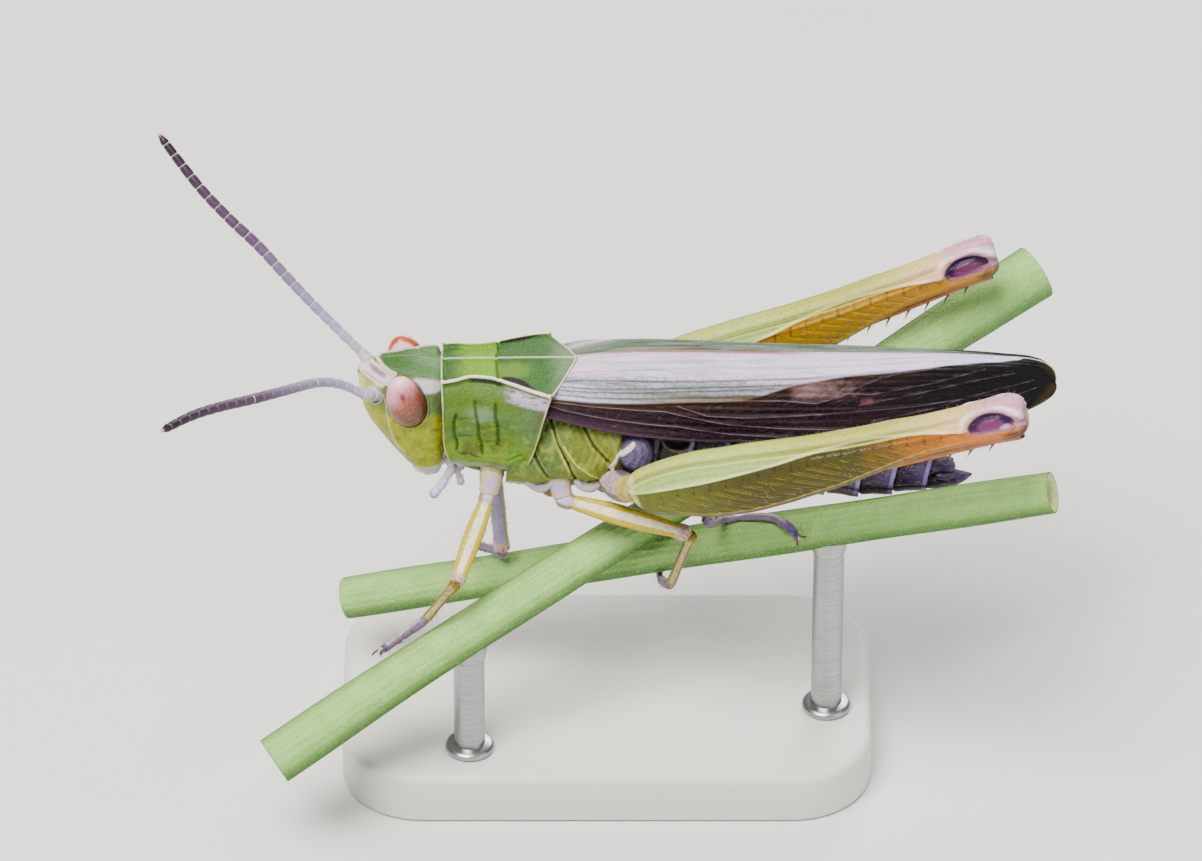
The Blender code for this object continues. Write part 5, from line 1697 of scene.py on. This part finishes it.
# share of the thigh, drop of its middle line, half height, half thickness
THIGH_ROWS = (
    (0.0, 0.04, 0.26, 0.22), (0.014, 0.11, 0.46, 0.34), (0.04, 0.18, 0.66, 0.42), (0.12, 0.24, 0.87, 0.50),
    (0.20, 0.33, 0.98, 0.56), (0.28, 0.38, 0.98, 0.58), (0.36, 0.38, 0.92, 0.58),
    (0.44, 0.36, 0.83, 0.56), (0.52, 0.32, 0.75, 0.54), (0.60, 0.24, 0.65, 0.51),
    (0.68, 0.14, 0.56, 0.48), (0.76, 0.08, 0.51, 0.44), (0.84, 0.05, 0.52, 0.43),
    (0.91, 0.03, 0.58, 0.44), (0.965, 0.02, 0.62, 0.42), (0.99, 0.0, 0.52, 0.36), (1.0, 0.0, 0.40, 0.28),
)
SHIN_DEPTH_KNEE = 0.54
SHIN_DEPTH_HIP = 1.20
SHIN_SHARES = (0.955, 0.16)
SHIN_GIRTH = 0.155
# Where the pale upper face of the thigh meets the olive one: share, height over the thigh's line
FACE_LINE = ((0.0, 0.02), (0.20, 0.07), (0.35, 0.16), (0.51, 0.28), (0.60, 0.31), (0.74, 0.22),
             (0.86, 0.04), (1.0, -0.12))
CHEVRON_PITCH = 0.46
KNEE_MARK = (0.920, 0.06, 0.64, 0.36)   # share, height, and half sizes of the crescent on the knee


def thigh_axes(name):
    hip, knee = np.array(HIPS[name]), np.array(KNEES[name])
    along = unit(knee - hip)
    side = unit(np.cross(along, UP))
    return hip, knee, side, np.cross(side, along)


def shin_depth(share):
    return SHIN_DEPTH_HIP + (SHIN_DEPTH_KNEE - SHIN_DEPTH_HIP) * share


def make_hind_thigh(name, finish, hair):
    hip, knee, side, top = thigh_axes(name)
    shares = np.concatenate([np.linspace(0, 0.96, 330), np.linspace(0.962, 1, 34)])[:, None]
    drop, tall, thick = (column[:, None] for column in spline(THIGH_ROWS, shares[:, 0]).T)
    turns = ring_turns(180)
    across, up = superellipse(turns[None], 2.3)
    y, h = across * thick, up * tall - drop
    roof = -shin_depth(shares) + SHIN_GIRTH + 0.03
    notch = ease(0.23 - np.abs(y), 0, 0.05) * (up < -0.3) * ease(0.985 - shares, 0, 0.03)
    h = h + np.maximum(roof - h, 0) * notch
    length = np.linalg.norm(knee - hip)
    run = shares * length + 0 * h
    line = spline(FACE_LINE, shares[:, 0])
    above = h - line
    flank = ease(np.abs(y) / thick, 0.55, 0.80)
    elbow = line - 0.30
    phase = np.where(h > elbow, run + (line - h) * 0.25, run + 0.075 - (elbow - h) * 1.8)
    chevron = np.abs(phase / CHEVRON_PITCH - np.round(phase / CHEVRON_PITCH)) * CHEVRON_PITCH
    olive = ease(-above, 0.02, 0.10) * ease(0.84 - shares, 0, 0.1) * ease(shares, 0.05, 0.12)
    crest = tall - drop - h
    foot_edge = h - (-tall - drop)
    mark = np.hypot((run - KNEE_MARK[0] * length) / KNEE_MARK[2], (h - KNEE_MARK[1]) / KNEE_MARK[3])
    height = (flank * (0.030 * hump(above, 0.05) - 0.022 * olive * hump(chevron, 0.05)
                       + 0.030 * hump(crest - 0.34, 0.05) + 0.03 * hump(foot_edge - 0.30, 0.05)
                       + 0.05 * hump(mark - 1.25, 0.20) * (h > KNEE_MARK[1])
                       - 0.07 * hump(mark - 0.78, 0.26) * (h > KNEE_MARK[1] - 0.1))
              + 0.05 * hump(crest, 0.03) + 0.04 * hump(crest - 0.12, 0.03)
              + 0.02 * hump(np.abs(y) - 0.24, 0.05) * (up < -0.5))
    rings = (hip + (knee - hip) * shares)[:, None] + side * y[..., None] + top * h[..., None]
    form = Form()
    form.grid(raised(rings, height), run=run, share=shares, above=above, chevron=chevron,
              crest=crest, foot=foot_edge, mark=mark, high=h, outer=np.abs(y) / thick, elbow=h - elbow)
    draw = random.Random(f"{name} thigh hairs")
    reach = sizes().hair / MM
    for _ in range(620):                          # hairs on the crest, the keel and the faces
        row = draw.randrange(12, 350)
        edge = draw.choice((45, 45, 45, 135, 0))
        column = (edge + draw.randrange(-8, 9)) % 180 if draw.random() < 0.7 else draw.randrange(180)
        root = rings[row, column]
        out = unit(root - rings[row].mean(0))
        tip = root + unit(out + unit(knee - hip) * 0.7) * reach * draw.uniform(0.3, 0.75)
        form.thorn(root, tip, 0.006, 3, steps=2, coat=1, above=1.0, crest=1.0, foot=1.0, mark=FAR)
    form.made(f"{name}_thigh", [f"{name}_femur"], "hind_thigh", finish, hair)


def hind_thigh_paint():
    paint = Finish("hind_thigh", roughness=0.36)
    c = shades()
    share, above, run, mark = paint.fields("share", "above", "run", "mark")
    high, outer, crest, chevron = paint.fields("high", "outer", "crest", "chevron")
    wobble = paint.drift(2.2)
    fine, pits = paint.noise(26.0, 5.0), paint.cells(16.0)
    streak = paint.noise(1.0, 4.0, paint.joined(run * 0.9, crest * 8.0, outer * 2.0))
    flank = outer.rise(0.35, 0.65)
    upper = paint.layers(
        c.pale_green,
        ((share + wobble * 0.14).rise(0.26, 0.58), (176, 172, 72)),
        ((share + wobble * 0.10).rise(0.64, 0.80), (232, 198, 164)),
        (crest.rise(0.52, 0.22) * share.rise(0.80, 0.55) * 0.5, (146, 160, 60)),
        (streak.rise(0.45, 0.70) * 0.35, (168, 186, 120)),
    )
    lower = paint.layers(
        c.olive,
        ((share + wobble * 0.16).rise(0.56, 0.88), c.orange),
        (streak.rise(0.48, 0.66) * 0.35, (92, 84, 0)),
        (share.rise(0.30, 0.08) * 0.5, (140, 146, 40)),
        # painted light: on the far (right) thigh the lower face is made golden, a lit copy of the olive for
        # a face that lies in shade
        (paint.place("y").rise(0.0, 1.0) * 0.6, (206, 168, 16)),
    )
    ground = paint.layers(
        upper,
        (above.rise(0.03, -0.03), lower),
        ((share + wobble * 0.05).rise(0.84, 0.93) * high.rise(-0.26, -0.06), c.rose),
    )
    in_lower = above.rise(-0.02, -0.07) * share.band(0.07, 0.80, 0.04) * flank
    dark_limb = chevron.rise(0.055, 0.015) * paint.field("elbow").rise(-0.10, 0.02) * in_lower
    pale_limb = abs(chevron - 0.07).rise(0.045, 0.012) * paint.field("elbow").rise(0.02, -0.08) * in_lower
    knee = share.rise(0.83, 0.87)
    ground = paint.layers(
        paint.dapple(ground, 0.12, 7.0),
        (dark_limb * (streak.rise(0.36, 0.62) * 0.5 + 0.08), (58, 54, 0)),
        (pale_limb * (streak.rise(0.34, 0.62) * 0.45), (176, 166, 40)),
        (above.near(0.02, 0.05) * flank * share.band(0.06, 0.86, 0.04) * 0.75, (232, 228, 190)),
        (crest.near(0.10, 0.07) * share.rise(0.90, 0.80) * 0.5, (148, 150, 50)),
        (crest.near(0.17, 0.040) * share.rise(0.92, 0.80) * 0.8, (220, 222, 150)),
        (crest.near(0.02, 0.06) * share.rise(0.90, 0.80) * 0.7, (206, 204, 120)),
        (paint.field("foot").near(0.28, 0.06) * share.band(0.12, 0.86, 0.05) * 0.8, (204, 180, 62)),
        (share.near(0.012, 0.014) * 0.8, (222, 214, 170)),
        (high.rise(-0.30, -0.50) * knee * 0.7, (170, 106, 60)),
        (mark.near(1.32, 0.22) * high.rise(-0.04, 0.12) * flank * knee, (238, 226, 236)),
        (mark.rise(1.04, 0.92) * flank * high.rise(-0.20, 0.02), (136, 80, 122)),
        (mark.band(0.58, 1.0, 0.12) * high.rise(-0.08, 0.10) * flank, (66, 14, 84)),
        # painted highlight: a soft pale blue-white spot on the outer face of the knee
        ((run.square(10.44) * 34 + high.square(-0.03) * 130).rise(1.0, 0.0) * flank * 0.55,
         (206, 196, 220)),
        (mark.near(1.04, 0.12) * high.rise(0.06, -0.10) * share.rise(0.95, 0.97) * flank * 0.6,
         (72, 30, 58)),
        (share.rise(0.975, 0.995) * high.rise(0.30, 0.10) * 0.55, (110, 58, 86)),
        (high.band(-0.52, -0.26, 0.05) * share.rise(0.925, 0.955) * 0.75, (58, 34, 32)),
    )
    return paint.coated(ground, (streak, 0.012), (pits, 0.010), (fine, 0.008), rough=fine * 0.25 + 0.26,
                        glow=(0.14, 0.30))


def make_hind_shin(name, side_sign, finishes, hair):
    hip, knee, side, top = thigh_axes(name)
    places = (0.978, 0.965, SHIN_SHARES[0] - 0.02, 0.60, 0.30, SHIN_SHARES[1])
    depths = (0.16, 0.48, shin_depth(SHIN_SHARES[0] - 0.02), shin_depth(0.60), shin_depth(0.30),
              shin_depth(SHIN_SHARES[1]))
    points = [hip + (knee - hip) * place - top * depth for place, depth in zip(places, depths)]
    ankle = points[-1]
    begin = ankle + (0.10, -0.10 * side_sign, -0.52)
    path, share = limb(points, 16, 300)
    girth = np.interp(share, (0, 0.03, 0.07, 0.12, 0.5, 0.95, 1.0),
                      (0.20, 0.24, 0.20, SHIN_GIRTH, 0.140, 0.175, 0.13))
    form = Form()
    form.tube(path, girth, 40, up=top)
    along = unit(path[-1] - path[80])
    spine = sizes().spine / MM
    draw = random.Random(f"{name} spines")
    for row in (-1, 1):
        for index in range(34, 290, 19):
            out = side * row * 0.62 - top * 0.78
            root = path[index + 4 * (row > 0)] + out * girth[index] * 0.85
            tip = root + unit(out + along * 0.95) * spine * draw.uniform(0.85, 1.1)
            form.thorn(root, tip, 0.034, 8, steps=5, bend=along * 0.02, coat=2)
    for row in (-1, 1):                            # spurs at the ankle
        for lower in (-1, 0.2):
            root = path[-6] + side * row * 0.11 + top * lower * 0.08
            form.thorn(root, root + unit(side * row * 0.45 + along + top * lower * 0.4) * 0.42,
                       0.040, 8, steps=5, coat=2)
    hairs_on(form, path, girth, 150, 0.1, 0.98, f"{name} shin hair")
    form.made(f"{name}_shin", [f"{name}_tibia"], "leg", finishes["orange_shin"], hair, finishes["claw"])
    make_foot(name, [ankle, begin, *HIND_FEET[name]], 0.13, finishes, hair, joints=(0.50, 0.64))


def shin_paint():
    paint = Finish("hind_shin", roughness=0.38)
    share, up = paint.fields("share", "up")
    wobble = paint.drift(3.0)
    fine = paint.noise(26.0, 4.0)
    ground = paint.node("ShaderNodeValToRGB", {"stops": (
        (0.0, (92, 50, 66)), (0.08, (196, 140, 110)), (0.40, (196, 138, 74)),
        (0.65, (164, 134, 66)), (1.0, (134, 116, 116)))}, {0: share + wobble * 0.12})
    ground = paint.mix((up + wobble * 0.4).rise(0.2, 0.8) * 0.5, ground, (196, 156, 150))
    return paint.coated(paint.dapple(ground, 0.16, 9.0), (fine, 0.010), (paint.cells(18.0), 0.008),
                        rough=fine * 0.25 + 0.28, glow=(0.15, 0.22))


def make_hind_coxa(name, side_sign, finish, hair):
    hip = np.array(HIPS[name])
    form = Form()
    path, share = limb([hip + (-0.62, -1.30 * side_sign, -0.56), hip + (-0.30, -0.80 * side_sign, -0.48),
                        hip + (0.06, -0.14 * side_sign, -0.16), hip + (0.22, 0.06 * side_sign, -0.06)],
                       14, 90)
    girth = np.interp(share, (0, 0.2, 0.45, 0.62, 0.72, 0.9, 1.0),
                      (0.30, 0.40, 0.42, 0.40, 0.30, 0.32, 0.12))
    form.tube(path, girth, 48, up=facing_out(side_sign))
    hairs_on(form, path, girth, 40, 0.1, 0.9, f"{name} coxa")
    form.made(f"{name}_hip", [f"{name}_coxa"], "leg", finish, hair)


def make_hind_legs():
    finishes, hair, thigh = leg_finishes(), hair_paint(), hind_thigh_paint()
    for name, side_sign in (("hind_left", -1), ("hind_right", 1)):
        make_hind_coxa(name, side_sign, finishes["hind_hip"], hair)
        make_hind_thigh(name, thigh, hair)
        make_hind_shin(name, side_sign, finishes, hair)


# ---------------------------------------------------------------- stand

BASE_CORNER = 2.2
BASE_BEVEL = 0.25
ROD_RADIUS = 0.42
ROD_PLACES = {"front": -1.0, "rear": 8.7}


def base_ring(size, inset, height):
    """A rounded rectangle that lies inside the base's outline."""
    corner = max(BASE_CORNER - inset, 0.1)
    ring = []
    for quarter in range(4):
        for step in range(25):
            turn = pi / 2 * (quarter + step / 24)
            sign_x = 1 if quarter in (0, 3) else -1
            sign_y = 1 if quarter in (0, 1) else -1
            ring.append((sign_x * ((size.x - 2 * inset) / 2 - corner) + cos(turn) * corner,
                         sign_y * ((size.y - 2 * inset) / 2 - corner) + sin(turn) * corner, height))
    return np.array(ring) - ORIGIN


def make_stand():
    low, high = (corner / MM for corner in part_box("stand_base"))
    size = high - low
    turns = [pi / 2 * step / 8 for step in range(9)]
    rings = [base_ring(size, BASE_BEVEL * (1 - sin(turn)), BASE_BEVEL * (1 - cos(turn)) * 0.4)
             for turn in turns]
    rings += [base_ring(size, BASE_BEVEL * (1 - cos(turn)), size.z - BASE_BEVEL * (1 - sin(turn)))
              for turn in turns]
    rings += [base_ring(size, inset, size.z) for inset in (0.5, 0.9, 1.5, 2.1)]
    form = Form()
    form.grid(np.stack(rings))
    form.made("display_base", ["stand_base"], "stand_paint", base_paint(), sharp=35)
    paint = rod_paint()
    for which, place in ROD_PLACES.items():
        head, _ = stem_point(which, place)
        foot = np.array((head[0], head[1], size.z - DATUM.z))
        rise = head[2] - foot[2] - 0.25
        profile = ((0.0, 0.60), (0.06, 0.66), (0.16, 0.66), (0.22, 0.60), (0.26, ROD_RADIUS),
                   (rise - 0.60, ROD_RADIUS), (rise - 0.52, 0.46), (rise - 0.20, 0.50), (rise, 0.46))
        heights = np.unique(np.concatenate([np.linspace(0, 0.4, 30), np.linspace(0.4, rise - 0.7, 20),
                                            np.linspace(rise - 0.7, rise, 26)]))
        radii = np.interp(heights, [row[0] for row in profile], [row[1] for row in profile])
        rod = Form()
        rod.tube(foot + heights[:, None] * UP, radii, 72, up=np.array((0.0, 1.0, 0.0)))
        rod.made(f"display_rod_{which}", [f"stand_rod_{which}"], "stand_steel", paint, sharp=35)


def base_paint():
    paint = Finish("stand_paint", roughness=0.42)
    c = stand()
    peel, dust = paint.noise(2.4, 3.0), paint.noise(14.0, 4.0)
    ground = paint.dapple(paint.mix(dust.rise(0.60, 0.75) * 0.20, c.base, (200, 198, 190)), 0.015, 0.8)
    return paint.coated(ground, (peel, 0.020), (dust, 0.003), rough=dust * 0.14 + 0.36)


def rod_paint():
    paint = Finish("stand_steel", roughness=0.28, Metallic=1.0)
    brushed = paint.noise(1.0, 3.0, paint.stretched(0.6, 0.6, 26.0))
    ground = paint.mix(brushed.rise(0.35, 0.65) * 0.35, stand().rod, (150, 150, 154))
    return paint.coated(ground, (brushed, 0.004), rough=brushed * 0.22 + 0.20)


# ---------------------------------------------------------------- stage

def make_floor():
    size, count = 2.4, 24
    places = np.linspace(-size / 2, size / 2, count)
    mesh = bpy.data.meshes.new("studio_floor")
    points = [(x, y, 0.0) for y in places for x in places]
    faces = []
    for row in range(count - 1):
        for column in range(count - 1):
            first = row * count + column
            faces.append((first, first + 1, first + count + 1, first + count))
    mesh.from_pydata(points, [], faces)
    paint = Finish("studio_floor", roughness=0.75)
    grain = paint.noise(0.35, 4.0)
    mesh.materials.append(paint.coated(paint.dapple(stand().floor, 0.012, 0.08), (grain, 0.02)).material)
    floor = bpy.data.objects.new("studio_floor", mesh)
    show(floor)


# name, place in metres, side, watts, colour
LAMPS = (
    ("key", (-0.10, -0.14, 0.34), 0.20, 3.6, (1.0, 0.98, 0.95)),
    ("fill", (0.26, -0.20, 0.12), 0.26, 0.55, (0.94, 0.97, 1.0)),
    ("rim", (0.10, 0.30, 0.22), 0.20, 1.3, (1.0, 1.0, 1.0)),
)


def make_lights():
    aim = Vector((0.0, 0.0, 0.010))
    for name, place, side, watts, colour in LAMPS:
        data = bpy.data.lights.new(name, "AREA")
        data.size, data.energy, data.color = side, watts, colour
        lamp = bpy.data.objects.new(name, data)
        lamp.location = place
        lamp.rotation_euler = (aim - lamp.location).to_track_quat("-Z", "Y").to_euler()
        show(lamp)
    world = bpy.data.worlds.new("studio")
    world.use_nodes = True
    sky = world.node_tree.nodes["Background"]
    sky.inputs["Color"].default_value = (0.86, 0.89, 0.92, 1.0)
    sky.inputs["Strength"].default_value = 0.32
    bpy.context.scene.world = world


VIEW_WIDTH = 32.05                      # width of the view at the insect
VIEW_MIDDLE = (2.56, -1.92)             # middle of the view: along the body, and up the picture


def make_camera():
    data = bpy.data.cameras.new("camera")
    data.sensor_width = 36.0
    away = stand().camera_distance / MM
    data.lens = data.sensor_width * away / VIEW_WIDTH
    data.clip_start, data.clip_end = 0.01, 10.0
    camera = bpy.data.objects.new("camera", data)
    ahead = Vector((0, cos(CAMERA_RISE), -sin(CAMERA_RISE)))
    upward = Vector((0, sin(CAMERA_RISE), cos(CAMERA_RISE)))
    middle = Vector((VIEW_MIDDLE[0], 0, 0)) + upward * VIEW_MIDDLE[1]
    camera.location = (middle - ahead * away + DATUM) * MM
    camera.rotation_euler = ahead.to_track_quat("-Z", "Y").to_euler()
    show(camera)
    bpy.context.scene.camera = camera


# ---------------------------------------------------------------- operators and panel

class GRASSHOPPER_OT_stage(bpy.types.Operator):
    """Make the floor, the lights and the camera"""

    bl_idname = "grasshopper.stage"
    bl_label = "Stage"

    def execute(self, context):
        make_floor()
        make_lights()
        make_camera()
        return {"FINISHED"}


class GRASSHOPPER_OT_head(bpy.types.Operator):
    """Make the head shell, the eyes, the feelers and the palps"""

    bl_idname = "grasshopper.head"
    bl_label = "Head"

    def execute(self, context):
        make_head()
        make_eyes()
        make_feelers()
        make_palps()
        return {"FINISHED"}


class GRASSHOPPER_OT_trunk(bpy.types.Operator):
    """Make the neck shield and the plates of the thorax"""

    bl_idname = "grasshopper.trunk"
    bl_label = "Neck shield and thorax"

    def execute(self, context):
        make_shield()
        make_thorax()
        return {"FINISHED"}


class GRASSHOPPER_OT_abdomen(bpy.types.Operator):
    """Make the rings and the tail of the abdomen"""

    bl_idname = "grasshopper.abdomen"
    bl_label = "Abdomen"

    def execute(self, context):
        make_abdomen()
        return {"FINISHED"}


class GRASSHOPPER_OT_wings(bpy.types.Operator):
    """Make the two fore wings with their veins"""

    bl_idname = "grasshopper.wings"
    bl_label = "Wings"

    def execute(self, context):
        make_wings()
        return {"FINISHED"}


class GRASSHOPPER_OT_slim_legs(bpy.types.Operator):
    """Make the four slim legs with their feet"""

    bl_idname = "grasshopper.slim_legs"
    bl_label = "Fore and mid legs"

    def execute(self, context):
        make_slim_legs()
        return {"FINISHED"}


class GRASSHOPPER_OT_hind_legs(bpy.types.Operator):
    """Make the two jumping legs with their spines and feet"""

    bl_idname = "grasshopper.hind_legs"
    bl_label = "Hind legs"

    def execute(self, context):
        make_hind_legs()
        return {"FINISHED"}


class GRASSHOPPER_OT_stems(bpy.types.Operator):
    """Make the two cut grass stems of the perch"""

    bl_idname = "grasshopper.stems"
    bl_label = "Grass stems"

    def execute(self, context):
        make_stems()
        return {"FINISHED"}


class GRASSHOPPER_OT_stand(bpy.types.Operator):
    """Make the painted base and the two steel rods"""

    bl_idname = "grasshopper.stand"
    bl_label = "Stand"

    def execute(self, context):
        make_stand()
        return {"FINISHED"}


class GRASSHOPPER_PT_pieces(bpy.types.Panel):
    """Lists the steps that build the model, and its settings."""

    bl_idname = "GRASSHOPPER_PT_pieces"
    bl_label = "Grasshopper"
    bl_space_type = "VIEW_3D"
    bl_region_type = "UI"
    bl_category = "Grasshopper"

    def draw(self, context):
        for step in STEPS:
            self.layout.operator(step.bl_idname)
        for group in SETTINGS:
            box = self.layout.box()
            for setting in group.bl_rna.properties.keys()[2:]:
                box.prop(getattr(context.scene, SETTINGS[group]), setting)


SETTINGS = {ShellColours: "shell_colours", ShellSizes: "shell_sizes", StandSettings: "stand_settings"}
STEPS = (
    GRASSHOPPER_OT_stage,
    GRASSHOPPER_OT_head,
    GRASSHOPPER_OT_trunk,
    GRASSHOPPER_OT_abdomen,
    GRASSHOPPER_OT_wings,
    GRASSHOPPER_OT_slim_legs,
    GRASSHOPPER_OT_hind_legs,
    GRASSHOPPER_OT_stems,
    GRASSHOPPER_OT_stand,
)


def register():
    for group, name in SETTINGS.items():
        bpy.utils.register_class(group)
        setattr(bpy.types.Scene, name, bpy.props.PointerProperty(type=group))
    for step in STEPS:
        bpy.utils.register_class(step)
    bpy.utils.register_class(GRASSHOPPER_PT_pieces)


def unregister():
    bpy.utils.unregister_class(GRASSHOPPER_PT_pieces)
    for step in reversed(STEPS):
        bpy.utils.unregister_class(step)
    for group, name in SETTINGS.items():
        delattr(bpy.types.Scene, name)
        bpy.utils.unregister_class(group)


def main():
    register()
    for step in STEPS:
        area, name = step.bl_idname.split(".")
        getattr(getattr(bpy.ops, area), name)()


if __name__ == "__main__":
    main()
